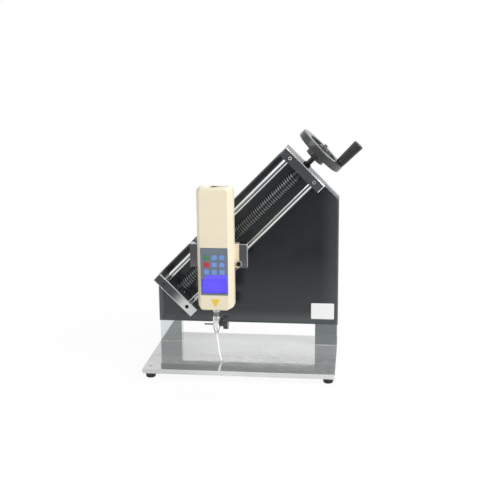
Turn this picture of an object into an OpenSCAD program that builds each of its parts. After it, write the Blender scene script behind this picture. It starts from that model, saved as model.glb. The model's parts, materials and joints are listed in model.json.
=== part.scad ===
// Manual 45 degree pull tester: a polished base on rubber feet, two legs, a folded
// housing, an inclined lead-screw stage with a hand wheel, and an upright force gauge.
// Millimetres. +X right, +Y away from the operator, +Z up, z = 0 at the feet.

/* [Base] */
// Side edges of the base plate inside the housing's
base_in = 1; // [0:0.5:4]
// Depth of the base plate, front to back
base_d = 224; // [200:1:280]
// Thickness of the base plate
base_t = 9; // [6:0.5:14]
// Diameter of each rubber foot
foot_d = 21; // [16:1:23]
// Height of each rubber foot
foot_h = 12; // [6:0.5:16]
// Foot centre to the side edge of the base plate
foot_inset_x = 12; // [11:0.5:30]
// Foot centre to the front or back edge of the base plate
foot_inset_y = 17.5; // [12:0.5:40]

/* [Legs] */
// Width of each leg
leg_w = 43; // [32:1:60]
// Thickness of each leg, front to back
leg_t = 20; // [18:1:30]
// Clear height under the housing
leg_h = 43; // [30:1:80]
// Height of the rebated tongue that each leg has inside the housing
tongue_h = 24; // [16:1:30]

/* [Housing] */
// Width of the folded housing
housing_w = 356; // [345:1:400]
// Front face of the housing, behind the front edge of the base
housing_y = 160; // [150:1:190]
// Sheet thickness of the housing and its back cover
sheet = 1.5; // [1:0.25:2]
// Outer radius of the housing's folds
bend_r = 5; // [3:0.5:6]
// Thickness of the frame plate inside the housing
frame_t = 10; // [8:1:13]
// Distance of the right-hand slope behind the outer face of the upper end block
slope_setback = 4; // [2:0.5:6]

/* [Stage] */
// Length of the stage over both end blocks
stage_len = 364; // [340:1:380]
// Height of the stage axis, measured square to the slope from the middle of the base top
stage_axis = 173; // [165:1:180]
// Distance from the stage's lower corner to the housing's left edge
stage_in = 2.6; // [1:0.2:8]
// Length of an end block along the slope
block_t = 19; // [17:1:24]
// Width of an end block across the slope
block_w = 100; // [92:1:110]
// Depth of an end block, front to back
block_d = 52; // [48:1:60]
// Chamfer on the end blocks' edges
block_chamfer = 1.5; // [0.5:0.25:3]
// Diameter of the guide rods
rod_d = 12; // [10:1:14]
// Distance between the guide rods
rod_spacing = 63; // [60:1:68]
// Outer diameter of the lead screw
screw_d = 22; // [18:1:24]
// Pitch of the lead screw
screw_pitch = 5; // [4:1:6]
// Diameter of the screw's plain journals
journal_d = 10; // [8:1:10]
// Outer diameter of the screw's ball bearings
bearing_d = 26; // [24:1:28]
// Width of the screw's ball bearings
bearing_w = 8; // [7:1:9]
// Radial clearance of every running fit
running_fit = 0.05; // [0.02:0.01:0.1]

/* [Carriage] */
// Middle of the carriage, measured along the slope from the stage's lower end
carriage_up = 131; // [115:1:225]
// Length of the carriage along the slope
carriage_l = 34; // [32:1:40]
// Width of the carriage across the slope
carriage_w = 96; // [92:1:104]
// Depth of the carriage, front to back
carriage_d = 47; // [42:1:48]
// Outer diameter of the linear bushes
bush_d = 21; // [19:1:24]
// Length of the linear bushes
bush_l = 30; // [24:1:32]
// Body diameter of the lead nut
nut_d = 32; // [28:1:34]
// Flange diameter of the lead nut
nut_flange_d = 46; // [44:1:48]
// Flange thickness of the lead nut
nut_flange_t = 8; // [5:0.5:10]
// Width of the upright mounting plate
mount_w = 108; // [100:1:120]
// Height of the upright mounting plate
mount_h = 46; // [40:1:60]
// Thickness of the upright mounting plate
mount_t = 16; // [12:1:20]

/* [Hand wheel] */
// Diameter of the hand wheel
wheel_d = 99.5; // [90:0.5:110]
// Thickness of the wheel's rim
rim_t = 14.5; // [12:0.5:18]
// Radial width of the wheel's rim
rim_w = 17.5; // [16:0.5:19]
// Diameter of the hub behind the wheel
hub_d = 38.5; // [30:0.5:44]
// Length of the hub behind the rim
hub_l = 11.5; // [8:0.5:16]
// Open shaft length between the upper end block and the hub
shaft_gap = 19; // [14:0.5:26]
// Diameter of the shaft collar
collar_d = 15; // [14:0.5:20]
// Thickness of the shaft collar
collar_t = 4; // [3:0.5:6]
// Length of the crank handle
handle_l = 51; // [40:1:70]
// Diameter of the crank handle at its foot
handle_d = 17; // [15:0.5:17]
// Diameter of the crank handle at its tip
handle_tip_d = 20; // [17:0.5:24]
// Number of flutes around the crank handle
flutes = 8; // [6:1:10]
// Diameter of the pin that the handle turns on
handle_pin_d = 7; // [6:0.5:8]

/* [Force gauge] */
// Width of the gauge
gauge_w = 68; // [66:1:74]
// Height of the gauge
gauge_h = 230; // [220:1:250]
// Depth of the gauge
gauge_d = 40; // [38:1:46]
// Width of the gauge's flat front
gauge_face_w = 54; // [53:0.5:58]
// Wall of the gauge's two shells
gauge_wall = 2.2; // [1.8:0.1:3]
// Radius of the gauge's corners
gauge_corner = 8; // [5:0.5:10]
// Height of the gauge's middle above the middle of the carriage
gauge_rise = 17; // [5:1:30]
// Width of the keypad panel
panel_w = 51; // [48:0.5:51.5]
// Height of the keypad panel
panel_h = 90; // [88:1:96]
// Lower edge of the keypad panel above the gauge's bottom
panel_up = 30; // [28:1:40]
// Thickness of the keypad panel
panel_t = 0.8; // [0.6:0.1:1.2]
// Width of a key
key_w = 10; // [8:0.5:11]
// Height of a key
key_h = 9.4; // [8:0.2:10]
// Distance between key columns
key_pitch_x = 14.4; // [13.5:0.1:15]
// Distance between key rows
key_pitch_z = 13.7; // [12.5:0.1:14.5]
// Travel of a key
key_travel = 0.5; // [0.3:0.1:0.7]
// Width of the display window
window_w = 45.5; // [42:0.5:46]
// Height of the display window
window_h = 27; // [24:0.5:28]

/* [Grip] */
// Diameter of the grip's coupling
coupling_d = 12.4; // [12:0.2:14]
// Length of the grip's coupling
coupling_l = 14; // [14:1:20]
// Diameter of the grip's body below the coupling
grip_d = 14.6; // [12:0.2:16]
// Length of the grip's body below the coupling
grip_l = 32.5; // [28:0.5:36]
// Diameter of the clamp knob
knob_d = 25; // [20:0.5:28]
// Thickness of the clamp knob
knob_t = 8.5; // [6:0.5:12]
// Diameter of the neck between the knob and the grip
knob_neck_d = 15; // [12:0.5:18]
// Length of that neck
knob_neck_l = 6; // [4:0.5:10]
// Diameter of the clamp screw
clamp_d = 4; // [3:0.5:4.5]
// Length of the side bar opposite the knob
bar_l = 16; // [10:1:24]
// Diameter of the side bar
bar_d = 2.5; // [1.5:0.5:3]
// Diameter of the pull cord
cord_d = 4; // [3:0.5:4]

/* [Hidden] */

$fn = 64;
rt2 = sqrt(2);
slope = 45;             // the stage climbs to the right at 45 degrees
cut = 1;                // how far a cutting tool runs past a face
slice = 0.01;           // thickness of the slices that a hull joins

// Widths, heights and depths of the main pieces
base_w = housing_w - 2 * base_in;
deck_z = foot_h + base_t;
housing_d = bend_r + leg_t + sheet;
leg_y = housing_y + bend_r;
cover_y = housing_y + housing_d - sheet;
frame_y = housing_y + sheet;
frame_back = frame_y + frame_t;
block_y = housing_y - block_d;
rod_y = block_y + block_d / 2;
leg_x = housing_w / 2 - sheet - leg_w / 2;

// Places along the slope (u) and square to it (n), from the middle of the base top
left_slope_n = stage_axis + block_w / 2;
stage_start = left_slope_n - rt2 * (housing_w / 2 - stage_in);
stage_end = stage_start + stage_len;
lower_face = stage_start + block_t;
upper_face = stage_end - block_t;
right_slope_u = stage_end - slope_setback;
rod_ends = 3;           // wall left behind the blind rod bores
hub_u = stage_end + shaft_gap;
rim_back_u = hub_u + hub_l;
wheel_face_u = rim_back_u + rim_t;
crank_r = wheel_d / 2 - rim_w / 2;
handle_gap = 0.3;
handle_u = wheel_face_u + handle_gap;

// Housing outline, seen from the front, around the middle of the base top
outline = [
    [-housing_w / 2, leg_h],
    [housing_w / 2, leg_h],
    [housing_w / 2, right_slope_u * rt2 - housing_w / 2],
    [(right_slope_u - left_slope_n) / rt2, (right_slope_u + left_slope_n) / rt2],
    [-housing_w / 2, left_slope_n * rt2 - housing_w / 2]
];

// Carriage, mounting plate and gauge
carriage_place = stage_start + carriage_up;
carriage_x = (carriage_place - stage_axis) / rt2;
carriage_z = deck_z + (carriage_place + stage_axis) / rt2;
mount_gap = 1;          // running gap between the mounting plate and the end blocks
mount_back = block_y - mount_gap;
mount_front = mount_back - mount_t;
mount_shift = 2;        // the plate sits this much right of and below the carriage
gauge_z = carriage_z + gauge_rise - gauge_h / 2;
seam = gauge_d / 2;     // the shells meet half way
panel_sink = 0.6;
panel_middle_z = panel_up + panel_h / 2;
keys_down = 32;         // middle row of keys below the panel's upper edge
key_middle_z = panel_up + panel_h - keys_down;
window_margin = 4;
window_middle_z = panel_up + window_margin + window_h / 2;
key_fit = 0.2;
key_proud = 0.5;
key_depth = 4.2;
board_gap = 7;          // front face of the circuit board behind the gauge's front
board_t = 1.6;

// Grip, measured down from the gauge's bottom
shaft_d = 6;
coupling_top = 2;
grip_top = coupling_top + coupling_l;
grip_bottom = grip_top + grip_l;
clamp_down = grip_top + 12;
cord_bore_d = cord_d + 1;
cord_bore_top = clamp_down - 3;

// The part's origin: middle of its bounding box, on the floor
handle_tip_u = handle_u + handle_l;
handle_low_n = stage_axis - crank_r - handle_tip_d / 2;
x_min = -housing_w / 2;
x_max = (handle_tip_u - handle_low_n) / rt2;
origin_x = (x_min + x_max) / 2;
origin_y = base_d / 2;

// Route of the pull cord: sideways and in depth from the grip's axis, then its height as a
// share of the way from the base, where it lies, to the closed end of the grip's bore
cord_shape = [
    [0, 0, 1], [0, 0, 0.83], [0, 0, 0.66], [0.2, -0.6, 0.57], [1, -2.2, 0.48], [2.2, -4.6, 0.4],
    [3.4, -7.4, 0.3], [5, -10.4, 0.2], [7, -13.6, 0.11], [9, -16.4, 0.04], [10.4, -18.6, 0]
];
cord_low = deck_z + cord_d / 2 + 0.2;
cord_high = gauge_z - cord_bore_top - 0.5;
cord_route = [for (p = cord_shape) [
    carriage_x - origin_x + p[0], mount_front - seam - origin_y + p[1],
    cord_low + p[2] * (cord_high - cord_low)]];

function arc(cx, cy, r, from, to, steps) =
    [for (i = [0 : steps]) let (a = from + (to - from) * i / steps) [cx + r * cos(a), cy + r * sin(a)]];

// ---------- placing ----------
module on_floor() { translate([-origin_x, -origin_y, 0]) children(); }
// Local X runs up the slope, local Y away from the operator, local Z square to the slope
module on_slope() { on_floor() translate([0, 0, deck_z]) rotate([0, -slope, 0]) children(); }
// Local Z runs up the slope
module along_slope(u, y, n) { on_slope() translate([u, y, n]) rotate([0, 90, 0]) children(); }
// Local origin at the middle of the gauge's bottom, in its back face
module on_gauge() { on_floor() translate([carriage_x, mount_front, gauge_z]) children(); }
// Local Z points at the operator
module facing(x, y, z) { translate([x, y, z]) rotate([90, 0, 0]) children(); }
// A flat outline in X and Z, from depth y to y + t
module upright(y, t) { translate([0, y + t, 0]) rotate([90, 0, 0]) linear_extrude(t) children(); }

// ---------- shared shapes ----------
module box_from(low, high) { translate(low) cube(high - low); }

module rounded_rect(w, h, r) {
    square([w - 2 * r, h], center = true);
    square([w, h - 2 * r], center = true);
    for (x = [-1, 1], y = [-1, 1])
        translate([x * (w / 2 - r), y * (h / 2 - r)]) circle(r);
}

// Socket-head screw: the head's seat is at z = 0, the head above it and the shank below
module cap_screw(d, l, head_d, head_h) {
    difference() {
        union() {
            translate([0, 0, -l]) cylinder(d = d, h = l);
            cylinder(d = head_d, h = head_h);
        }
        translate([0, 0, head_h * 0.4]) cylinder(d = d * 0.8, h = head_h, $fn = 6);
    }
}

// Countersunk screw: the top of its head is at z = 0 and the shank below
module flush_screw(d, l, head_d) {
    head_h = (head_d - d) / 2;
    difference() {
        union() {
            translate([0, 0, -l]) cylinder(d = d, h = l);
            translate([0, 0, -head_h]) cylinder(d1 = d, d2 = head_d, h = head_h);
        }
        translate([0, 0, -head_h * 0.7]) cylinder(d = d * 0.6, h = head_h, $fn = 6);
    }
}

module flush_hole(d, l, head_d) {
    head_h = (head_d - d) / 2;
    translate([0, 0, -l]) cylinder(d = d, h = l + cut);
    translate([0, 0, -head_h]) cylinder(d1 = d, d2 = head_d, h = head_h);
    cylinder(d = head_d, h = cut);
}

// ---------- base ----------
foot_screw_d = 4;
foot_screw_head = 7.5;
foot_screw_l = base_t + foot_h / 2;
leg_screw_d = 6;
leg_screw_head = 11;
leg_screw_reach = 16;
leg_screw_x = leg_w / 4;

module at_feet() {
    for (x = [-1, 1], y = [foot_inset_y, base_d - foot_inset_y])
        translate([x * (base_w / 2 - foot_inset_x), y, 0]) children();
}

module at_leg_screws() {
    for (side = [-1, 1], x = [-1, 1])
        translate([side * leg_x + x * leg_screw_x, leg_y + leg_t / 2, foot_h]) children();
}

module base_plate() {
    edge = 0.8;
    color([0.78, 0.79, 0.8]) on_floor() difference() {
        intersection() {
            translate([-base_w / 2, 0, foot_h]) cube([base_w, base_d, base_t]);
            translate([-base_w / 2, 0, 0]) rotate([90, 0, 90]) linear_extrude(base_w) polygon([
                [edge, foot_h], [base_d - edge, foot_h], [base_d, foot_h + edge],
                [base_d, deck_z - edge], [base_d - edge, deck_z], [edge, deck_z],
                [0, deck_z - edge], [0, foot_h + edge]]);
        }
        at_feet() translate([0, 0, deck_z]) flush_hole(foot_screw_d, base_t + cut, foot_screw_head);
        at_leg_screws() mirror([0, 0, 1]) flush_hole(leg_screw_d, base_t + cut, leg_screw_head);
    }
}

module rubber_feet() {
    taper = 1.5;
    edge = 2.5;
    color([0.06, 0.06, 0.06]) on_floor() at_feet() difference() {
        rotate_extrude() polygon(concat(
            [[0, 0]], arc(foot_d / 2 - taper - edge, edge, edge, -90, 0, 5),
            [[foot_d / 2, foot_h - 1], [foot_d / 2, foot_h], [0, foot_h]]));
        translate([0, 0, deck_z - foot_screw_l]) cylinder(d = foot_screw_d, h = foot_screw_l);
    }
}

module foot_screws() {
    color([0.75, 0.75, 0.76]) on_floor() at_feet()
        translate([0, 0, deck_z]) flush_screw(foot_screw_d, foot_screw_l, foot_screw_head);
}

// ---------- legs ----------
frame_screw_d = 4;
frame_screw_up = 7;
frame_screw_x = leg_w / 2 - 6;
frame_screw_head = 6;
frame_screw_head_t = 1.6;
frame_screw_grip = 8;   // length of a frame screw inside the leg's tongue
frame_screw_l = sheet + frame_t + frame_screw_grip;

module leg(side) {
    shoulder = deck_z + leg_h + sheet;
    color([0.78, 0.79, 0.8]) on_floor() difference() {
        union() {
            translate([side * leg_x - leg_w / 2, leg_y, deck_z]) cube([leg_w, leg_t, leg_h + sheet]);
            translate([side * leg_x - leg_w / 2, frame_back, shoulder])
                cube([leg_w, cover_y - frame_back, tongue_h]);
        }
        for (x = [-1, 1])
            translate([side * leg_x + x * leg_screw_x, leg_y + leg_t / 2, deck_z - cut])
                cylinder(d = leg_screw_d, h = leg_screw_reach + cut);
        at_frame_screws(side) translate([0, 0, -frame_screw_l]) cylinder(d = frame_screw_d, h = frame_screw_l);
    }
}

module left_leg() { leg(-1); }
module right_leg() { leg(1); }

module leg_screws() {
    color([0.7, 0.7, 0.72]) on_floor() at_leg_screws() mirror([0, 0, 1])
        flush_screw(leg_screw_d, base_t + leg_screw_reach, leg_screw_head);
}

module at_frame_screws(side) {
    for (x = [-1, 1])
        facing(side * leg_x + x * frame_screw_x, housing_y, deck_z + leg_h + frame_screw_up) children();
}

module frame_screws() {
    color([0.7, 0.7, 0.72]) on_floor() for (side = [-1, 1])
        at_frame_screws(side)
            cap_screw(frame_screw_d, frame_screw_l, frame_screw_head, frame_screw_head_t);
}

// ---------- housing ----------
fold_steps = 6;
block_bolt_d = 6;
block_bolt_inset = 6;
block_bolt_edge = 12;
block_bolt_n = block_w / 2 - block_bolt_edge;
spacer_d = 8;
spacer_stud = 6;        // stud of a spacer in the frame plate
cover_screw_d = 4;
cover_screw_head = 7;
cover_screw_grip = 7;   // length of a cover screw inside its spacer
screw_room = 2;         // free depth below a screw's end
spacer_in = 22;         // spacers to the housing's side edges
spacer_up = 40;         // lower spacers above the housing's bottom
spacer_places = [
    [-housing_w / 2 + spacer_in, leg_h + spacer_up],
    [housing_w / 2 - spacer_in, leg_h + spacer_up],
    [housing_w / 2 - spacer_in, outline[2][1] - spacer_in],
    [outline[3][0], outline[3][1] - 2 * spacer_in]
];

// A solid with the housing's outline, drawn in by inset, with its front edges rounded by r
module folded_solid(inset, front, back, r) {
    hull() {
        for (i = [0 : fold_steps]) let (a = 90 * i / fold_steps)
            upright(front + r * (1 - cos(a)), slice)
                offset(delta = -inset - r * (1 - sin(a))) polygon(outline);
        upright(back - slice, slice) offset(delta = -inset) polygon(outline);
    }
}

module at_block_bolts() {
    for (u = [lower_face - block_bolt_inset, upper_face + block_bolt_inset], n = [-1, 1])
        on_slope() translate([u, 0, stage_axis + n * block_bolt_n]) children();
}

module at_spacers() {
    on_floor() for (p = spacer_places) translate([p[0], 0, deck_z + p[1]]) children();
}

module housing_shell() {
    color([0.05, 0.05, 0.055]) difference() {
        on_floor() translate([0, 0, deck_z]) difference() {
            folded_solid(0, housing_y, housing_y + housing_d, bend_r);
            folded_solid(sheet, frame_y, housing_y + housing_d + cut, bend_r - sheet);
            for (side = [-1, 1])
                translate([side * leg_x - leg_w / 2, leg_y, leg_h - cut]) cube([leg_w, leg_t, sheet + cut]);
        }
        at_block_bolts() facing(0, frame_y + cut, 0) cylinder(d = block_bolt_d, h = sheet + 2 * cut);
        on_floor() for (side = [-1, 1])
            at_frame_screws(side) translate([0, 0, -sheet - cut])
                cylinder(d = frame_screw_d, h = sheet + 2 * cut);
    }
}

module frame_plate() {
    color([0.62, 0.63, 0.65]) difference() {
        on_floor() translate([0, 0, deck_z]) folded_solid(sheet, frame_y, frame_back, bend_r - sheet);
        at_block_bolts() facing(0, frame_back + cut, 0) cylinder(d = block_bolt_d, h = frame_t + 2 * cut);
        on_floor() for (side = [-1, 1])
            at_frame_screws(side) translate([0, 0, -frame_screw_l])
                cylinder(d = frame_screw_d, h = frame_screw_l);
        at_spacers() facing(0, frame_back + cut, 0) cylinder(d = cover_screw_d, h = spacer_stud + cut);
    }
}

module back_cover() {
    cover_fit = 0.2;
    color([0.05, 0.05, 0.055]) difference() {
        on_floor() translate([0, 0, deck_z]) upright(cover_y, sheet)
            offset(delta = -sheet - cover_fit) polygon(outline);
        at_spacers() facing(0, cover_y + sheet + cut, 0) cylinder(d = cover_screw_d, h = sheet + 2 * cut);
    }
}

// Each spacer has a threaded stud that screws into the frame plate
module cover_spacers() {
    color([0.75, 0.72, 0.55]) at_spacers() difference() {
        union() {
            facing(0, cover_y, 0) cylinder(d = spacer_d, h = cover_y - frame_back, $fn = 6);
            facing(0, cover_y, 0) cylinder(d = cover_screw_d, h = cover_y - frame_back + spacer_stud);
        }
        facing(0, cover_y + cut, 0)
            cylinder(d = cover_screw_d, h = cover_screw_grip + screw_room + cut);
    }
}

module cover_screws() {
    color([0.7, 0.7, 0.72]) at_spacers() translate([0, cover_y + sheet, 0]) rotate([-90, 0, 0])
        cap_screw(cover_screw_d, sheet + cover_screw_grip, cover_screw_head, cover_screw_d * 0.6);
}

// ---------- end blocks, rods and bearings ----------
set_screw_d = 7.5;
set_screw_sink = 0.4;
block_bolt_reach = 14;
block_bolt_head = 10;

// Prism across the slope with chamfered long edges, from u to u + t
module chamfered_block(u, t, w, y, d, c) {
    translate([u, y + d / 2, stage_axis - w / 2]) linear_extrude(w) polygon([
        [c, -d / 2], [t - c, -d / 2], [t, -d / 2 + c], [t, d / 2 - c],
        [t - c, d / 2], [c, d / 2], [0, d / 2 - c], [0, -d / 2 + c]]);
}

// inner is the face that looks at the other block, and side is +1 or -1 along the slope
module end_block(start, inner, side) {
    rod_bore = block_t - rod_ends;
    color([0.07, 0.07, 0.075]) difference() {
        on_slope() chamfered_block(start, block_t, block_w, block_y, block_d, block_chamfer);
        for (n = [-1, 1]) {
            along_slope(inner, rod_y, stage_axis + n * rod_spacing / 2)
                mirror([0, 0, side < 0 ? 1 : 0]) translate([0, 0, -cut])
                    cylinder(d = rod_d, h = rod_bore + cut);
            on_slope() facing(start + block_t / 2, rod_y, stage_axis + n * rod_spacing / 2)
                cylinder(d = set_screw_d, h = block_d);
        }
        along_slope(inner, rod_y, stage_axis) mirror([0, 0, side < 0 ? 1 : 0]) {
            translate([0, 0, -cut]) cylinder(d = bearing_d, h = bearing_w + cut);
            cylinder(d = journal_d + 3, h = block_t + cut);
        }
        on_slope() for (n = [-1, 1])
            facing(inner + side * block_bolt_inset, block_y + block_d + cut, stage_axis + n * block_bolt_n)
                cylinder(d = block_bolt_d, h = block_bolt_reach + cut);
    }
}

module upper_end_block() { end_block(upper_face, upper_face, 1); }
module lower_end_block() { end_block(stage_start, lower_face, -1); }

module block_bolts() {
    bolt_l = frame_t + sheet + block_bolt_reach;
    color([0.12, 0.12, 0.12]) at_block_bolts() translate([0, frame_back, 0]) rotate([-90, 0, 0])
        cap_screw(block_bolt_d, bolt_l, block_bolt_head, block_bolt_d);
}

module guide_rod(n) {
    reach = block_t - rod_ends;
    color([0.85, 0.86, 0.87]) along_slope(lower_face - reach, rod_y, stage_axis + n * rod_spacing / 2)
        cylinder(d = rod_d, h = upper_face - lower_face + 2 * reach);
}

module upper_guide_rod() { guide_rod(1); }
module lower_guide_rod() { guide_rod(-1); }

// Grub screws in the blocks' front faces press on the rods
module rod_set_screws() {
    l = rod_y - rod_d / 2 - block_y - set_screw_sink;
    hex = set_screw_d / 2;
    color([0.6, 0.61, 0.62]) for (u = [stage_start, upper_face], n = [-1, 1])
        on_slope() facing(u + block_t / 2, block_y + set_screw_sink + l, stage_axis + n * rod_spacing / 2)
            difference() {
                cylinder(d = set_screw_d, h = l);
                translate([0, 0, l - hex]) cylinder(d = hex, h = hex + cut, $fn = 6);
            }
}

ball_d = 4.8;
race_r = (bearing_d + journal_d) / 4;
ring_gap = 3;           // open width between the two rings of a bearing
ball_count = 7;
bearing_starts = [lower_face - bearing_w, upper_face];

module bearing_ring(r_in, r_out) {
    difference() {
        cylinder(r = r_out, h = bearing_w);
        translate([0, 0, -cut]) cylinder(r = r_in, h = bearing_w + 2 * cut);
        translate([0, 0, bearing_w / 2]) rotate_extrude()
            translate([race_r, 0]) circle(d = ball_d + 2 * running_fit);
    }
}

module ball_bearings() {
    color([0.7, 0.71, 0.72]) for (u = bearing_starts) along_slope(u, rod_y, stage_axis) {
        bearing_ring(race_r + ring_gap / 2, bearing_d / 2);
        for (i = [0 : ball_count - 1]) rotate(i * 360 / ball_count)
            translate([race_r, 0, bearing_w / 2]) sphere(d = ball_d);
    }
}

module bearing_inner_rings() {
    color([0.7, 0.71, 0.72]) for (u = bearing_starts) along_slope(u, rod_y, stage_axis)
        bearing_ring(journal_d / 2, race_r - ring_gap / 2);
}

// ---------- lead screw and hand wheel ----------
thread_gap = 4;         // plain shoulder at each end of the thread
nut_thread_d = 8;
key_side = 3;
key_l = 16;
web_t = 6;
recess = 6.5;
wheel_boss_d = 20;

thread_depth = screw_pitch / 2;
flank = thread_depth * tan(15);
crest = screw_pitch / 2 - flank;
shoulder_r = journal_d / 2 + 2;
thread_start = lower_face + thread_gap;
thread_turns = floor((upper_face - lower_face - 2 * thread_gap) / screw_pitch);
thread_end = thread_start + thread_turns * screw_pitch;
journal_low = lower_face - bearing_w;
washer_t = 1.6;
washer_d = 17;
nut_h = 5;
nut_corners = 15;
nut_bevel_d = 19;
nut_top_d = 13.4;
screw_tip = wheel_face_u + washer_t + nut_h + 1;

// Half section of the screw: radius, then distance along the slope
screw_section = concat(
    [[0, journal_low], [journal_d / 2, journal_low], [journal_d / 2, lower_face]],
    [[shoulder_r, lower_face], [shoulder_r, thread_start]],
    [for (i = [0 : thread_turns - 1], p = [
        [screw_d / 2 - thread_depth, 0],
        [screw_d / 2, flank],
        [screw_d / 2, flank + crest],
        [screw_d / 2 - thread_depth, 2 * flank + crest]]) [p[0], thread_start + i * screw_pitch + p[1]]],
    [[screw_d / 2 - thread_depth, thread_end], [shoulder_r, thread_end], [shoulder_r, upper_face]],
    [[journal_d / 2, upper_face], [journal_d / 2, wheel_face_u - 1], [nut_thread_d / 2, wheel_face_u - 1]],
    [[nut_thread_d / 2, screw_tip - 1], [nut_thread_d / 2 - 1, screw_tip], [0, screw_tip]]);

module key_cut(grow) {
    translate([journal_d / 2 - key_side / 2, -key_side / 2, hub_u + 3])
        cube([key_side, key_side, key_l + grow]);
}

module lead_screw() {
    color([0.45, 0.42, 0.38]) along_slope(0, rod_y, stage_axis) difference() {
        rotate_extrude() polygon(screw_section);
        key_cut(0);
    }
}

module shaft_collar() {
    gap = 0.3;
    color([0.1, 0.1, 0.1]) along_slope(stage_end + gap, rod_y, stage_axis) difference() {
        cylinder(d = collar_d, h = collar_t);
        translate([0, 0, -cut]) cylinder(d = journal_d, h = collar_t + 2 * cut);
    }
}

// Half section of the wheel: radius, then distance in front of the hub's back face
rim_edge = 3;
face_up = hub_l + rim_t;
wheel_section = concat(
    [[journal_d / 2, 0], [hub_d / 2 - 1.5, 0], [hub_d / 2, 1.5], [hub_d / 2, hub_l]],
    [[wheel_d / 2 - rim_w, face_up - recess - web_t], [wheel_d / 2 - rim_w + 2, hub_l]],
    arc(wheel_d / 2 - rim_edge, hub_l + rim_edge, rim_edge, -90, 0, 6),
    arc(wheel_d / 2 - rim_edge / 2, face_up - rim_edge / 2, rim_edge / 2, 0, 90, 4),
    [[wheel_d / 2 - rim_w + 1, face_up], [wheel_d / 2 - rim_w, face_up - 1]],
    [[wheel_d / 2 - rim_w - 1, face_up - recess], [wheel_boss_d / 2 + 1, face_up - recess]],
    [[wheel_boss_d / 2, face_up - 1], [wheel_boss_d / 2 - 1, face_up], [journal_d / 2, face_up]]);
crank_pin_reach = 10;
crank_thread_d = 6;

module hand_wheel() {
    color([0.06, 0.06, 0.065]) difference() {
        along_slope(hub_u, rod_y, stage_axis) rotate_extrude() polygon(wheel_section);
        along_slope(0, rod_y, stage_axis) key_cut(0);
        along_slope(wheel_face_u - crank_pin_reach, rod_y, stage_axis - crank_r)
            cylinder(d = crank_thread_d, h = crank_pin_reach + cut);
    }
}

module wheel_key() {
    color([0.6, 0.6, 0.6]) along_slope(0, rod_y, stage_axis) key_cut(0);
}

// A plain washer and a low hexagon nut
module wheel_nut() {
    color([0.85, 0.86, 0.87]) along_slope(wheel_face_u, rod_y, stage_axis) difference() {
        union() {
            cylinder(d = washer_d, h = washer_t);
            translate([0, 0, washer_t]) intersection() {
                cylinder(d = nut_corners, h = nut_h, $fn = 6);
                cylinder(d1 = nut_bevel_d, d2 = nut_top_d, h = nut_h);
            }
        }
        translate([0, 0, -cut]) cylinder(d = nut_thread_d, h = washer_t + nut_h + 2 * cut);
    }
}

// ---------- crank handle ----------
pin_head_d = 11;
pin_head_t = 3;
pin_head_sink = 0.5;
pin_slot_w = 1.6;
pin_slot_t = 1.5;
tip_round = 2.5;

// The pin's shoulder stands on the wheel and its head keeps the handle on
module crank_pin() {
    shoulder = handle_gap + handle_l - pin_head_sink - pin_head_t + 0.1;
    color([0.75, 0.76, 0.77]) along_slope(wheel_face_u, rod_y, stage_axis - crank_r) difference() {
        union() {
            translate([0, 0, -crank_pin_reach]) cylinder(d = crank_thread_d, h = crank_pin_reach);
            cylinder(d = handle_pin_d, h = shoulder);
            translate([0, 0, shoulder]) cylinder(d = pin_head_d, h = pin_head_t);
        }
        translate([-pin_head_d, -pin_slot_w / 2, shoulder + pin_head_t - pin_slot_t])
            cube([2 * pin_head_d, pin_slot_w, pin_slot_t + cut]);
    }
}

module crank_handle() {
    flute_d = handle_d * 0.28;
    lean = atan((handle_tip_d - handle_d) / 2 / handle_l);
    color([0.05, 0.05, 0.055]) along_slope(handle_u, rod_y, stage_axis - crank_r) difference() {
        rotate_extrude() polygon(concat(
            [[0, 0], [handle_d / 2 - 1, 0], [handle_d / 2, 1]],
            arc(handle_tip_d / 2 - tip_round, handle_l - tip_round, tip_round, 0, 90, 5),
            [[0, handle_l]]));
        for (i = [0 : flutes - 1]) rotate((i + 0.5) * 360 / flutes)
            translate([handle_d / 2 + flute_d * 0.22, 0, 4]) rotate([0, lean, 0])
                cylinder(d = flute_d, h = handle_l + 5);
        translate([0, 0, -cut]) cylinder(d = handle_pin_d + 2 * running_fit, h = handle_l + 2 * cut);
        translate([0, 0, handle_l - pin_head_sink - pin_head_t - 0.2])
            cylinder(d = pin_head_d + 0.6, h = pin_head_t + 2);
    }
}

// ---------- carriage ----------
carriage_y = mount_back;
carriage_start = carriage_place - carriage_l / 2;
nut_screw_d = 4;
nut_screw_r = (nut_d + nut_flange_d) / 4;
nut_screw_head = 6;
nut_screw_grip = 10;
mount_screw_d = 5;
mount_screw_head = 8.5;
mount_screw_n = (nut_d / 2 + rod_spacing / 2 - bush_d / 2 + mount_screw_d) / 2 + 1;
mount_screw_sink = 6;
mount_screw_grip = 12;

module at_nut_screws() {
    for (a = [45, 135, 225, 315])
        along_slope(carriage_start + carriage_l, rod_y, stage_axis) rotate(a) translate([nut_screw_r, 0, 0])
            children();
}

module carriage_block() {
    c = 1.5;
    color([0.4, 0.41, 0.43]) difference() {
        on_slope() chamfered_block(carriage_start, carriage_l, carriage_w, carriage_y, carriage_d, c);
        for (n = [-1, 1]) along_slope(carriage_start - cut, rod_y, stage_axis + n * rod_spacing / 2)
            cylinder(d = bush_d, h = carriage_l + 2 * cut);
        along_slope(carriage_start - cut, rod_y, stage_axis) cylinder(d = nut_d, h = carriage_l + 2 * cut);
        at_nut_screws() translate([0, 0, -nut_screw_grip])
            cylinder(d = nut_screw_d, h = nut_screw_grip + cut);
        at_mount_screws() translate([0, 0, -mount_screw_l]) cylinder(d = mount_screw_d, h = mount_screw_l);
    }
}

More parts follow.
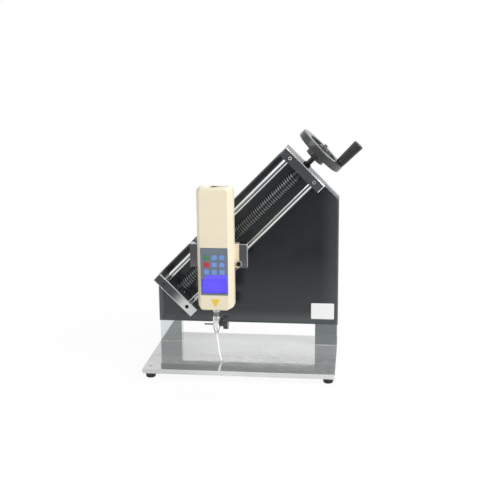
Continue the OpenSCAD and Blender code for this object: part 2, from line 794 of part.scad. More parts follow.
module linear_bushes() {
    groove = 0.6;
    color([0.8, 0.8, 0.82]) for (n = [-1, 1])
        along_slope(carriage_place - bush_l / 2, rod_y, stage_axis + n * rod_spacing / 2) difference() {
            rotate_extrude() polygon([
                [rod_d / 2 + running_fit, 0], [bush_d / 2, 0], [bush_d / 2, 3],
                [bush_d / 2 - groove, 3], [bush_d / 2 - groove, 4.3], [bush_d / 2, 4.3],
                [bush_d / 2, bush_l - 4.3], [bush_d / 2 - groove, bush_l - 4.3],
                [bush_d / 2 - groove, bush_l - 3], [bush_d / 2, bush_l - 3],
                [bush_d / 2, bush_l], [rod_d / 2 + running_fit, bush_l]]);
        }
}

// Flanged nut; a plain bore with running clearance stands for its thread
module lead_nut() {
    color([0.72, 0.53, 0.25]) difference() {
        along_slope(carriage_start, rod_y, stage_axis) difference() {
            union() {
                cylinder(d = nut_d, h = carriage_l);
                translate([0, 0, carriage_l]) cylinder(d = nut_flange_d, h = nut_flange_t);
            }
            translate([0, 0, -cut])
                cylinder(d = screw_d + 2 * running_fit, h = carriage_l + nut_flange_t + 2 * cut);
        }
        at_nut_screws() translate([0, 0, nut_flange_t])
            flush_hole(nut_screw_d, nut_flange_t + cut, nut_screw_head);
    }
}

module nut_screws() {
    color([0.12, 0.12, 0.12]) at_nut_screws() translate([0, 0, nut_flange_t])
        flush_screw(nut_screw_d, nut_flange_t + nut_screw_grip, nut_screw_head);
}

// ---------- mounting plate ----------
mount_x = carriage_x + mount_shift;
mount_z = carriage_z - mount_shift;
mount_screw_l = mount_t - mount_screw_sink + mount_screw_grip;
lock_d = 5;
lock_head = 8.5;
lock_washer_d = 11;
lock_share = 0.35;      // of the mount plate's strip beside the gauge, to the lock screw
lock_x = carriage_x + gauge_w / 2 + lock_share * (mount_w - gauge_w) / 2;
lock_z = mount_z - mount_h / 2 + lock_head;
gauge_screw_d = 4;
gauge_screw_head = 7;
gauge_screw_sink = 5;
gauge_screw_grip = 6;   // length of a gauge screw inside the rear shell
gauge_screw_x = 26;
gauge_screw_z = 14;

// Screws from the plate's front into the carriage, behind the gauge
module at_mount_screws() {
    on_slope() for (n = [-1, 1])
        facing(carriage_place, mount_front + mount_screw_sink, stage_axis + n * mount_screw_n) children();
}

module at_gauge_screws() {
    on_floor() for (x = [-1, 1], z = [-1, 1])
        facing(carriage_x + x * gauge_screw_x, mount_back, mount_z + z * gauge_screw_z) children();
}

module mount_plate() {
    c = 1.2;
    color([0.35, 0.35, 0.37]) difference() {
        on_floor() translate([mount_x - mount_w / 2, 0, mount_z]) rotate([90, 0, 90]) linear_extrude(mount_w)
            polygon([
                [mount_front, -mount_h / 2 + c], [mount_front + c, -mount_h / 2],
                [mount_back, -mount_h / 2], [mount_back, mount_h / 2],
                [mount_front + c, mount_h / 2], [mount_front, mount_h / 2 - c]]);
        at_mount_screws() {
            translate([0, 0, -mount_t]) cylinder(d = mount_screw_d, h = mount_t);
            cylinder(d = mount_screw_head + 0.4, h = mount_t);
        }
        at_gauge_screws() {
            translate([0, 0, -cut]) cylinder(d = gauge_screw_d, h = mount_t + 2 * cut);
            translate([0, 0, -cut]) cylinder(d = gauge_screw_head + 1, h = gauge_screw_sink + cut);
        }
        on_floor() facing(lock_x, mount_back + cut, lock_z) cylinder(d = lock_d, h = mount_t + 2 * cut);
    }
}

module mount_screws() {
    color([0.1, 0.1, 0.1]) at_mount_screws()
        cap_screw(mount_screw_d, mount_screw_l, mount_screw_head, mount_screw_d);
}

// Lock screw with its washer, at the plate's lower right corner
module lock_screw() {
    lock_washer_t = 1;
    color([0.07, 0.07, 0.07]) on_floor() facing(lock_x, mount_front, lock_z) {
        difference() {
            cylinder(d = lock_washer_d, h = lock_washer_t);
            translate([0, 0, -cut]) cylinder(d = lock_d, h = lock_washer_t + 2 * cut);
        }
        translate([0, 0, lock_washer_t]) cap_screw(lock_d, mount_t + lock_washer_t, lock_head, lock_d);
    }
}

// ---------- gauge shells ----------
boss_d = 9;
shaft_hole_d = 9;

// Outer form of the gauge, drawn in by e on every side; the face is at y = -gauge_d
module gauge_form(e) {
    w = gauge_w / 2 - e;
    f = gauge_face_w / 2 - e * 0.8;
    r = 3;
    intersection() {
        translate([0, -gauge_d + e, gauge_h / 2]) rotate([-90, 0, 0]) linear_extrude(gauge_d - 2 * e)
            rounded_rect(gauge_w - 2 * e, gauge_h - 2 * e, gauge_corner - e);
        linear_extrude(gauge_h) polygon([
            [-w + r, -e], [w - r, -e], [w, -e - r], [w, -seam],
            [f + 1.6, -gauge_d + e + 2.2], [f, -gauge_d + e + 0.5], [f - 1.6, -gauge_d + e],
            [-f + 1.6, -gauge_d + e], [-f, -gauge_d + e + 0.5], [-f - 1.6, -gauge_d + e + 2.2],
            [-w, -seam], [-w, -e - r]]);
        translate([-gauge_w / 2, 0, 0]) rotate([90, 0, 90]) linear_extrude(gauge_w) polygon([
            [-e, e + r], [-e - r, e], [-gauge_d + e + r, e], [-gauge_d + e + 1, e + 0.8], [-gauge_d + e, e + r],
            [-gauge_d + e, gauge_h - e - r], [-gauge_d + e + 1, gauge_h - e - 0.8],
            [-gauge_d + e + r, gauge_h - e], [-e - r, gauge_h - e], [-e, gauge_h - e - r]]);
    }
}

module gauge_half(front) {
    low = front ? -gauge_d - cut : -seam;
    high = front ? -seam : cut;
    intersection() {
        gauge_form(0);
        box_from([-gauge_w, low, -cut], [gauge_w, high, gauge_h + cut]);
    }
}

shell_screw_d = 2.6;
shell_screw_head = 5;
shell_screw_sink = 6;
shell_screw_grip = 8;   // length of a shell screw inside the front shell
shell_screw_x = gauge_w / 2 - gauge_wall - boss_d / 2 + 1;
shell_screw_z = [14, gauge_h - 14];
board_w = 50;
board_low = panel_up - 8;
board_high = panel_up + panel_h + 4;
board_y = -gauge_d + board_gap;

module at_shell_screws() {
    for (x = [-1, 1], z = shell_screw_z) translate([x * shell_screw_x, 0, z]) children();
}

module at_keys(grow) {
    for (i = [0 : 8]) at_key(i) cube([key_w + grow, 4 * gauge_wall, key_h + grow], center = true);
}

module at_key(i) {
    translate([(i % 3 - 1) * key_pitch_x, -gauge_d, key_middle_z + (1 - floor(i / 3)) * key_pitch_z])
        children();
}

module shaft_hole() {
    translate([0, -seam, -cut]) cylinder(d = shaft_hole_d, h = gauge_wall + 2 * cut);
}

module gauge_front_shell() {
    window_lip = 1.5;
    color([0.91, 0.87, 0.77]) on_gauge() difference() {
        union() {
            difference() {
                gauge_half(true);
                gauge_form(gauge_wall);
            }
            intersection() {
                gauge_half(true);
                at_shell_screws() facing(0, -seam, 0) cylinder(d = boss_d, h = gauge_d);
            }
        }
        translate([0, -gauge_d + panel_sink, panel_middle_z]) rotate([90, 0, 0])
            linear_extrude(panel_sink + cut) square([panel_w, panel_h], center = true);
        at_keys(2 * key_fit);
        translate([0, -gauge_d, window_middle_z])
            cube([window_w - 2 * window_lip, 4 * gauge_wall, window_h - 2 * window_lip], center = true);
        at_shell_screws() facing(0, -seam + cut, 0)
            cylinder(d = shell_screw_d, h = shell_screw_grip + screw_room + cut);
        shaft_hole();
        socket_hole();
    }
}

module gauge_rear_shell() {
    cell_pad_low = cell_low + cell_h - cell_foot;
    boss_l = 9;
    color([0.91, 0.87, 0.77]) on_gauge() difference() {
        union() {
            difference() {
                gauge_half(false);
                gauge_form(gauge_wall);
            }
            intersection() {
                gauge_half(false);
                union() {
                    at_shell_screws() facing(0, 0, 0) cylinder(d = boss_d, h = seam);
                    box_from([-cell_w / 2, -seam + cell_t / 2, cell_pad_low],
                        [cell_w / 2, 0, cell_low + cell_h]);
                    for (x = [-1, 1], z = [-1, 1])
                        facing(x * gauge_screw_x, 0, mount_z - gauge_z + z * gauge_screw_z)
                            cylinder(d = boss_d, h = boss_l);
                }
            }
        }
        at_shell_screws() facing(0, cut, 0) {
            cylinder(d = shell_screw_d + 0.4, h = seam + 2 * cut);
            cylinder(d = shell_screw_head + 1, h = shell_screw_sink + cut);
        }
        for (x = [-1, 1], z = [-1, 1])
            facing(x * gauge_screw_x, cut, mount_z - gauge_z + z * gauge_screw_z)
                cylinder(d = gauge_screw_d, h = gauge_screw_grip + screw_room);
        at_cell_screws() translate([0, 0, -cell_t - cell_screw_grip])
            cylinder(d = cell_screw_d, h = cell_screw_grip + cut);
        shaft_hole();
        socket_hole();
    }
}

// Four screws hold the gauge to the plate, and four more hold its two shells together
module gauge_screws() {
    color([0.3, 0.3, 0.32]) {
        at_gauge_screws() translate([0, 0, gauge_screw_sink]) mirror([0, 0, 1])
            cap_screw(gauge_screw_d, mount_t - gauge_screw_sink + gauge_screw_grip, gauge_screw_head, 3);
        on_gauge() at_shell_screws() translate([0, -shell_screw_sink, 0]) rotate([-90, 0, 0])
            cap_screw(shell_screw_d, seam - shell_screw_sink + shell_screw_grip, shell_screw_head, 2);
    }
}

// ---------- gauge front ----------
module keypad_panel() {
    color([0.55, 0.6, 0.66]) on_gauge() difference() {
        translate([0, -gauge_d + panel_sink, panel_middle_z]) rotate([90, 0, 0])
            linear_extrude(panel_t) square([panel_w, panel_h], center = true);
        at_keys(2 * key_fit);
        translate([0, -gauge_d, window_middle_z]) cube([window_w, 4 * gauge_wall, window_h], center = true);
    }
}

key_colours = [
    [0.15, 0.55, 0.3], [0.2, 0.3, 0.6], [0.2, 0.3, 0.6],
    [0.7, 0.12, 0.12], [0.2, 0.3, 0.6], [0.2, 0.3, 0.6],
    [0.2, 0.3, 0.6], [0.2, 0.3, 0.6], [0.2, 0.3, 0.6]
];

module key(i) {
    color(key_colours[i]) on_gauge() at_key(i) translate([0, key_depth - panel_t, 0]) rotate([90, 0, 0])
        linear_extrude(key_depth - panel_t + key_proud) rounded_rect(key_w, key_h, 1.2);
}

module display_window() {
    color([0.5, 0.6, 0.95, 0.5]) on_gauge() translate([0, -gauge_d + panel_sink, window_middle_z])
        rotate([90, 0, 0]) linear_extrude(panel_t) square([window_w, window_h], center = true);
}

module display_module() {
    color([0.35, 0.32, 0.9]) on_gauge() box_from(
        [-window_w / 2, -gauge_d + gauge_wall, window_middle_z - window_h / 2],
        [window_w / 2, board_y, window_middle_z + window_h / 2]);
}

// Board with one switch behind each key and a processor on its back, held against the display
module circuit_board() {
    switch_w = 6;
    chip_w = 24;
    chip_t = 1.4;
    chip_low = (board_low + board_high - chip_w) / 2;
    switch_gap = key_travel + 0.1;
    switch_front = -gauge_d + key_depth - panel_t + switch_gap;
    color([0.1, 0.4, 0.2]) on_gauge() {
        box_from([-board_w / 2, board_y, board_low], [board_w / 2, board_y + board_t, board_high]);
        for (i = [0 : 8]) at_key(i) box_from(
            [-switch_w / 2, switch_front + gauge_d, -switch_w / 2], [switch_w / 2, board_gap, switch_w / 2]);
        box_from([-chip_w / 2, board_y + board_t, chip_low],
            [chip_w / 2, board_y + board_t + chip_t, chip_low + chip_w]);
    }
}

battery_d = 14.5;
battery_l = 50;
battery_low = panel_up + panel_h + 8;

// Four rechargeable cells side by side, lying on the rear shell
module battery_pack() {
    color([0.2, 0.45, 0.25]) on_gauge() for (i = [-1.5 : 1 : 1.5])
        translate([i * battery_d, -gauge_wall - battery_d / 2, battery_low])
            cylinder(d = battery_d, h = battery_l);
}

// ---------- load cell, shaft and socket ----------
cell_w = 32;
cell_t = 12;
cell_h = 40;
cell_low = 8;
cell_foot = 14;         // height of the cell's end that is screwed down
cell_arm = 7;

cell_screw_d = 4;
cell_screw_head = 7;
cell_screw_grip = 7;    // length of the cell screws inside the rear shell
cell_screw_x = 9;
cell_screw_z = cell_low + cell_h - cell_foot / 2;

module at_cell_screws() {
    for (x = [-1, 1]) facing(x * cell_screw_x, -seam - cell_t / 2, cell_screw_z) children();
}

// S-shaped load cell: two slots and a cross hole leave the bending arms
module load_cell() {
    slot = 3;
    eye_d = 11;
    foot_z = cell_low + cell_h - cell_foot;
    color([0.75, 0.76, 0.78]) on_gauge() difference() {
        box_from([-cell_w / 2, -seam - cell_t / 2, cell_low],
            [cell_w / 2, -seam + cell_t / 2, cell_low + cell_h]);
        box_from([-cell_w / 2 - cut, -seam - cell_t, cell_low + cell_arm],
            [cell_w / 2 - cell_arm, -seam + cell_t, cell_low + cell_arm + slot]);
        box_from([-cell_w / 2 + cell_arm, -seam - cell_t, foot_z - slot],
            [cell_w / 2 + cut, -seam + cell_t, foot_z]);
        facing(0, -seam + cell_t, (cell_low + cell_arm + foot_z) / 2) cylinder(d = eye_d, h = 2 * cell_t);
        translate([0, -seam, cell_low - cut]) cylinder(d = shaft_d, h = cell_arm + cut);
        at_cell_screws() translate([0, 0, -cell_t - cut]) cylinder(d = cell_screw_d, h = cell_t + 2 * cut);
    }
}

module cell_screws() {
    color([0.3, 0.3, 0.32]) on_gauge() at_cell_screws()
        cap_screw(cell_screw_d, cell_t + cell_screw_grip, cell_screw_head, 3);
}

shaft_grip = 14;        // length of the shaft inside the grip's coupling

module load_shaft() {
    color([0.8, 0.81, 0.82]) on_gauge() translate([0, -seam, -coupling_top - shaft_grip])
        cylinder(d = shaft_d, h = coupling_top + shaft_grip + cell_low + cell_arm);
}

socket_x = -2;
socket_y = -16;
socket_d = 14;
socket_bore = 8;
socket_depth = 9;

module socket_hole() {
    translate([socket_x, socket_y, gauge_h - gauge_wall - cut])
        cylinder(d = socket_d, h = gauge_wall + 2 * cut);
}

module data_socket() {
    color([0.08, 0.08, 0.08]) on_gauge() translate([socket_x, socket_y, gauge_h]) difference() {
        union() {
            translate([0, 0, -socket_depth - 3]) cylinder(d = socket_d, h = socket_depth + 3);
            translate([0, 0, -gauge_wall - 1.5]) cylinder(d = socket_d + 3, h = 1.5);
        }
        translate([0, 0, -socket_depth]) cylinder(d = socket_bore, h = socket_depth + cut);
    }
}

// ---------- grip ----------
module at_grip() { on_gauge() translate([0, -seam, 0]) children(); }

bar_down = clamp_down + 4;

// Coupling with a shallow neck, then a wider body that tapers to the cord's bore
module grip_body() {
    neck_low = grip_top - 3;
    neck_high = grip_top - 9;
    cone_l = 13;
    tip_d = cord_bore_d + 3;
    edge = 1;
    neck = 0.7;
    color([0.85, 0.86, 0.87]) at_grip() difference() {
        rotate_extrude() polygon([
            [0, -grip_bottom], [tip_d / 2, -grip_bottom], [grip_d / 2, -grip_bottom + cone_l],
            [grip_d / 2, -grip_top - edge], [grip_d / 2 - edge, -grip_top],
            [coupling_d / 2, -grip_top], [coupling_d / 2, -neck_low],
            [coupling_d / 2 - neck, -neck_low + neck], [coupling_d / 2 - neck, -neck_high - neck],
            [coupling_d / 2, -neck_high], [coupling_d / 2, -coupling_top - edge],
            [coupling_d / 2 - edge, -coupling_top], [0, -coupling_top]]);
        translate([0, 0, -coupling_top - shaft_grip]) cylinder(d = shaft_d, h = shaft_grip + cut);
        translate([0, 0, -grip_bottom - cut]) cylinder(d = cord_bore_d, h = grip_bottom - cord_bore_top + cut);
        translate([0, 0, -clamp_down]) rotate([0, 90, 0]) cylinder(d = clamp_d + 2 * running_fit, h = grip_d);
        translate([-grip_d, 0, -bar_down]) rotate([0, 90, 0]) cylinder(d = bar_d, h = grip_d);
    }
}

module side_bar() {
    color([0.6, 0.6, 0.62]) at_grip() translate([-grip_d / 2 - bar_l, 0, -bar_down]) rotate([0, 90, 0])
        cylinder(d = bar_d, h = bar_l + (grip_d - cord_bore_d) / 2);
}

clamp_pad_t = 0.5;

module clamp_pad() {
    color([0.7, 0.71, 0.72]) at_grip() translate([cord_d / 2, 0, -clamp_down]) rotate([0, 90, 0])
        cylinder(d = clamp_d - 1, h = clamp_pad_t);
}

// Clamp screw with a neck and a round head in one piece
module clamp_knob() {
    screw_x = cord_d / 2 + clamp_pad_t;
    neck_x = max(coupling_d, grip_d) / 2 + 0.4;
    color([0.04, 0.04, 0.045]) at_grip() translate([0, 0, -clamp_down]) rotate([0, 90, 0]) {
        translate([0, 0, screw_x]) cylinder(d = clamp_d, h = neck_x + 1 - screw_x);
        translate([0, 0, neck_x]) cylinder(d = knob_neck_d, h = knob_neck_l);
        translate([0, 0, neck_x + knob_neck_l]) cylinder(d = knob_d, h = knob_t);
    }
}

// ---------- pull cord ----------
cord_sides = 8;
function unit(v) = v / norm(v);
function heading(p, i) = unit(p[min(i + 1, len(p) - 1)] - p[max(i - 1, 0)]);
function ring(p, i) = let (t = heading(p, i), a = unit(cross(t, [0, 1, 0])), b = cross(t, a))
    [for (k = [0 : cord_sides - 1])
        p[i] + cord_d / 2 * (cos(360 * k / cord_sides) * a + sin(360 * k / cord_sides) * b)];

module pull_cord() {
    rings = len(cord_route);
    points = [for (i = [0 : rings - 1]) each ring(cord_route, i)];
    sides = [for (i = [0 : rings - 2], k = [0 : cord_sides - 1])
        [i * cord_sides + k, i * cord_sides + (k + 1) % cord_sides,
         (i + 1) * cord_sides + (k + 1) % cord_sides, (i + 1) * cord_sides + k]];
    first = [for (k = [cord_sides - 1 : -1 : 0]) k];
    last = [for (k = [0 : cord_sides - 1]) (rings - 1) * cord_sides + k];
    color([0.93, 0.93, 0.92]) polyhedron(points, concat([first], sides, [last]));
}

// ---------- the assembly ----------
base_plate();
rubber_feet();
foot_screws();
left_leg();
right_leg();
leg_screws();
frame_plate();
frame_screws();
housing_shell();
back_cover();
cover_spacers();
cover_screws();
upper_end_block();
lower_end_block();
block_bolts();
upper_guide_rod();
lower_guide_rod();
rod_set_screws();
ball_bearings();
bearing_inner_rings();
lead_screw();
shaft_collar();
hand_wheel();
wheel_key();
wheel_nut();
crank_pin();
crank_handle();
carriage_block();
linear_bushes();
lead_nut();
nut_screws();
mount_plate();
mount_screws();
lock_screw();
gauge_front_shell();
gauge_rear_shell();
gauge_screws();
keypad_panel();
key(0);  // key_1
key(1);  // key_2
key(2);  // key_3
key(3);  // key_4
key(4);  // key_5
key(5);  // key_6
key(6);  // key_7
key(7);  // key_8
key(8);  // key_9
display_window();
display_module();
circuit_board();
battery_pack();
load_cell();
cell_screws();
load_shaft();
data_socket();
grip_body();
side_bar();
clamp_pad();
clamp_knob();
pull_cord();
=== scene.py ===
import json
import math

import bmesh
import bpy
import numpy as np
from mathutils import Matrix, Vector


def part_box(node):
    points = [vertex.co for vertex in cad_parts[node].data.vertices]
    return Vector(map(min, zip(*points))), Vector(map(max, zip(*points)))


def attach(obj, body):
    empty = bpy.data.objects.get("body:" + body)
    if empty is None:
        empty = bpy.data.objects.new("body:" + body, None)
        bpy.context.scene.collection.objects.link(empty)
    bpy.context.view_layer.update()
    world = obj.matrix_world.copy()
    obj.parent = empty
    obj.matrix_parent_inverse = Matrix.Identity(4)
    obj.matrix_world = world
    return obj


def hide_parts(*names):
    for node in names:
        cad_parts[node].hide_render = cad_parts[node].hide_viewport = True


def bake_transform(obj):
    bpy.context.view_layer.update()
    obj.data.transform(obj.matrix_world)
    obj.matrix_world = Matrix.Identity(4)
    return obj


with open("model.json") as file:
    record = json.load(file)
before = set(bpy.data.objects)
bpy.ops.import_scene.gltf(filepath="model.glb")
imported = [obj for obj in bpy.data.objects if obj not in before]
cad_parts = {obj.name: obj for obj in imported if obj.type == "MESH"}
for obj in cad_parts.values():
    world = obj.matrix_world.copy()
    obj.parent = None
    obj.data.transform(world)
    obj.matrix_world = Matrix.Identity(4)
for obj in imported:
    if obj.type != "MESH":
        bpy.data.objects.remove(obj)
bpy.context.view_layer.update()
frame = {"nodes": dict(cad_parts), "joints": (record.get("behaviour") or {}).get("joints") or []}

mm = 0.001

# ---------- camera ----------
# A long lens a little above the object and to its right, turned slightly to the left.
# Its three turns are heading, downward pitch and roll, and it stands above the base plate.
plate_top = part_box("base_plate")[1][2]
lens_place = Vector((0.19384, -1.70397, plate_top + 0.59632))
heading, pitch, roll = 0.125472, 0.217257, -0.0111465
flat_right = Vector((math.cos(heading), math.sin(heading), 0))
flat_ahead = Vector((-math.sin(heading), math.cos(heading), 0))
ahead = flat_ahead * math.cos(pitch) - Vector((0, 0, math.sin(pitch)))
flat_up = flat_right.cross(ahead)
right = flat_right * math.cos(roll) + flat_up * math.sin(roll)
up = flat_up * math.cos(roll) - flat_right * math.sin(roll)
camera = bpy.data.objects.new("camera", bpy.data.cameras.new("camera"))
bpy.context.scene.collection.objects.link(camera)
camera.matrix_world = Matrix.Translation(lens_place) @ Matrix((right, up, -ahead)).transposed().to_4x4()
camera.data.lens = 69.757
camera.data.sensor_width = 36
camera.data.shift_x = -0.00798
camera.data.shift_y = 0.0050
bpy.context.scene.camera = camera

# ---------- pull cord ----------
# A short limp braid of white polyester, clamped in the grip's bore by the side knob. It hangs
# out of the grip and its free end lies on the base plate.
grip_low, grip_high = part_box("grip_body")
cord_d = 4.0 * mm
cord_clearance = 0.2 * mm
cord_in_grip = 23.0 * mm
cord_samples = 90
end_share = 0.75
# Sideways and in depth in millimetres from the grip's axis, then height as a share of the way
# from the free end up to the clamped one.
cord_shape = np.array([
    [0, 0, 1], [0, 0, 0.83], [0, 0, 0.66], [0.2, -0.6, 0.57], [1, -2.2, 0.48], [2.2, -4.6, 0.4],
    [3.4, -7.4, 0.3], [5, -10.4, 0.2], [7, -13.6, 0.11], [9, -16.4, 0.04], [10.4, -18.6, 0]])
cord_low = plate_top + cord_d / 2 + cord_clearance
cord_high = grip_low[2] + cord_in_grip
cord_axis = [(grip_low[0] + grip_high[0]) / 2, (grip_low[1] + grip_high[1]) / 2]


def smooth_line(points, count):
    """Curve through points: each stretch is a cubic whose ends head along the line between the
    neighbours on both sides; count samples are then spread evenly by length."""
    points = np.asarray(points, float)
    slope = np.gradient(points, axis=0)
    t = np.linspace(0, 1, 24, endpoint=False)[None, :, None]
    a, b = points[:-1, None], points[1:, None]
    p, q = slope[:-1, None], slope[1:, None]
    curve = (2*t**3 - 3*t**2 + 1)*a + (t**3 - 2*t**2 + t)*p + (3*t**2 - 2*t**3)*b + (t**3 - t**2)*q
    curve = np.vstack([curve.reshape(-1, points.shape[1]), points[-1:]])
    run = np.r_[0, np.cumsum(np.linalg.norm(np.diff(curve, axis=0), axis=1))]
    even = np.linspace(0, run[-1], count)
    return np.stack([np.interp(even, run, curve[:, k]) for k in range(points.shape[1])], axis=1)


def skin(name, grid, round_rows=False, round_columns=False, crease=40, tags=None):
    """Surface over a grid of points: rows are the first index and columns the second. A round
    direction joins its last line to its first. Points that meet are merged, so a row that
    shrinks to a point closes as a pole. tags are values, one for each grid point."""
    rows, columns = grid.shape[:2]
    i = np.arange(rows if round_rows else rows - 1)[:, None]
    j = np.arange(columns if round_columns else columns - 1)[None, :]
    i2, j2 = (i + 1) % rows, (j + 1) % columns
    faces = np.stack([i*columns + j + 0*i2, i*columns + j2, i2*columns + j2, i2*columns + j], -1)
    mesh = bpy.data.meshes.new(name)
    mesh.from_pydata(grid.reshape(-1, 3).tolist(), [], faces.reshape(-1, 4).tolist())
    left, low, right, high = np.broadcast_arrays(j, i, j + 1, i + 1)
    corners = ((left, low), (right, low), (right, high), (left, high))
    uv = np.stack([np.stack([u / columns, v / rows], -1) for u, v in corners], -2)
    mesh.uv_layers.new(name="UVMap").data.foreach_set("uv", uv.astype(np.float32).ravel())
    if tags is not None:
        tag = mesh.attributes.new("tag", "FLOAT", "POINT")
        tag.data.foreach_set("value", tags.astype(np.float32).ravel())
    shape = bmesh.new()
    shape.from_mesh(mesh)
    bmesh.ops.remove_doubles(shape, verts=shape.verts, dist=1e-7)
    bmesh.ops.recalc_face_normals(shape, faces=shape.faces)
    shape.to_mesh(mesh)
    shape.free()
    mesh.shade_smooth()
    mesh.set_sharp_from_angle(angle=math.radians(crease))
    piece = bpy.data.objects.new(name, mesh)
    bpy.context.scene.collection.objects.link(piece)
    return piece


def full_turn(columns):
    """One row of angles, spread evenly over a full turn."""
    return np.linspace(0, 2*math.pi, columns, endpoint=False)[None, :]


def tube(line, radius, sides):
    """Rings of points round a line: at each point two directions square to the line's heading
    carry a circle of the given radius, and the ends shrink to poles."""
    heading = np.gradient(line, axis=0)
    heading /= np.linalg.norm(heading, axis=1)[:, None]
    first = np.cross(heading, [0, 1, 0])
    first /= np.linalg.norm(first, axis=1)[:, None]
    second = np.cross(heading, first)
    angle = full_turn(sides)[..., None]
    radius = np.broadcast_to(radius, len(line))[:, None, None]
    rings = line[:, None] + radius*(np.cos(angle)*first[:, None] + np.sin(angle)*second[:, None])
    start = np.repeat(line[:1, None], sides, axis=1)
    end = np.repeat(line[-1:, None], sides, axis=1)
    return np.concatenate([start, rings, end])


def tone(r, g, b):
    """Colour as the eye reads it, 0 to 255, made linear."""
    return tuple((c/255/12.92 if c < 10.3 else ((c/255 + 0.055)/1.055)**2.4) for c in (r, g, b)) + (1.0,)


def blank_material(name):
    """New material, with its node tree and the sockets of its shader."""
    material = bpy.data.materials.new(name)
    material.use_nodes = True
    return material, material.node_tree, sockets(material)


def sockets(material):
    """Input sockets of a material's shader."""
    return material.node_tree.nodes["Principled BSDF"].inputs


def feed(tree, socket, value):
    """Links a socket to another one, or sets it to a plain value."""
    if isinstance(value, bpy.types.NodeSocket):
        tree.links.new(value, socket)
    else:
        socket.default_value = value


def set_up(tree, kind, **values):
    """New node of a kind, with values fed to sockets that are named as the keys are, with an
    underscore for each space."""
    node = tree.nodes.new("ShaderNode" + kind)
    for name, value in values.items():
        feed(tree, node.inputs[name.replace("_", " ")], value)
    return node


def in_order(tree, kind, operation, *values):
    """Outputs of a new node that does an operation on values, fed to its sockets in order."""
    node = tree.nodes.new("ShaderNode" + kind)
    node.operation = operation
    for socket, value in zip(node.inputs, values):
        feed(tree, socket, value)
    return node.outputs


def maths(tree, operation, first, *others):
    """Number worked out from the first value and each of the others in turn."""
    for other in others:
        first = in_order(tree, "Math", operation, first, other)[0]
    return first


def mixed(tree, kind, share, first, second):
    """Two colours (RGBA) or numbers (FLOAT) mixed: the second one's share goes from 0 to 1."""
    node = tree.nodes.new("ShaderNodeMix")
    node.data_type = kind
    for name, value in (("Factor", share), ("A", first), ("B", second)):
        feed(tree, node.inputs[name], value)
    return node.outputs["Result"]


def bump(tree, height, distance, strength=1.0, **onto):
    """Normal of a surface raised by height times distance, in metres."""
    node = set_up(tree, "Bump", Height=height, Distance=distance, Strength=strength, **onto)
    return node.outputs["Normal"]


cord_points = np.stack([
    cord_axis[0] + cord_shape[:, 0]*mm, cord_axis[1] + cord_shape[:, 1]*mm,
    cord_low + cord_shape[:, 2]*(cord_high - cord_low)], axis=1)
cord_line = smooth_line(cord_points, cord_samples)
end_taper = np.ones(cord_samples)
end_taper[[0, -1]] = end_share
cord_sides = 20
pull_cord = skin("braided_cord", tube(cord_line, cord_d/2*end_taper, cord_sides), round_columns=True)

cord_braid, tree, shader = blank_material("white braid")
uv = tree.nodes.new("ShaderNodeUVMap").outputs["UV"]
strands_round, strands_along = 6, 44
bands = []
for lean in (1, -1):
    turned = set_up(tree, "Mapping", Vector=uv, Scale=(strands_round*lean, strands_along, 1))
    wave = set_up(tree, "TexWave", Vector=turned.outputs["Vector"], Scale=0.5, Distortion=0.4)
    wave.bands_direction = "DIAGONAL"
    bands.append(wave.outputs["Fac"])
plait = maths(tree, "MAXIMUM", *bands)
feed(tree, shader["Base Color"], mixed(tree, "RGBA", plait, tone(212, 212, 208), tone(246, 246, 243)))
feed(tree, shader["Normal"], bump(tree, plait, 0.3*mm, 0.6))
shader["Roughness"].default_value = 0.85
shader["Sheen Weight"].default_value = 0.3
pull_cord.data.materials.append(cord_braid)
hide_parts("pull_cord")
# The point of the cord closest to this height above the plate.
settled_height = 7.0 * mm
meets_plate = cord_line[np.abs(cord_line[:, 2] - plate_top - settled_height).argmin()].tolist()
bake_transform(pull_cord)

# ---------- floor, backdrop and light ----------
# A white sheet that shows only faint shadows, a bright sky for metal to mirror, and three
# large soft lamps. What metal mirrors in front of the object is darker, as a room is.


def own_place(tree):
    """Outputs for a point's place on its own piece, called Object, and for its Normal."""
    return tree.nodes.new("ShaderNodeTexCoord").outputs


def parts(tree, vector):
    """The X, Y and Z of a vector."""
    return set_up(tree, "SeparateXYZ", Vector=vector).outputs


def noise(tree, vector, cycles, detail, warp=0.0):
    """Noise with a number of cycles a metre, or with one each along X, Y and Z."""
    scale = np.broadcast_to(cycles, 3).tolist()
    stretched = set_up(tree, "Mapping", Vector=vector, Scale=scale).outputs["Vector"]
    made = set_up(tree, "TexNoise", Vector=stretched, Scale=1, Detail=detail, Distortion=warp)
    return made.outputs["Fac"]


def ramp(tree, value, start, end, low=0.0, high=1.0, ease="LINEAR"):
    """Number that goes from low to high as value goes from start to end, and stops there."""
    node = set_up(tree, "MapRange", Value=value, From_Min=start, From_Max=end, To_Min=low, To_Max=high)
    node.interpolation_type = ease
    return node.outputs["Result"]


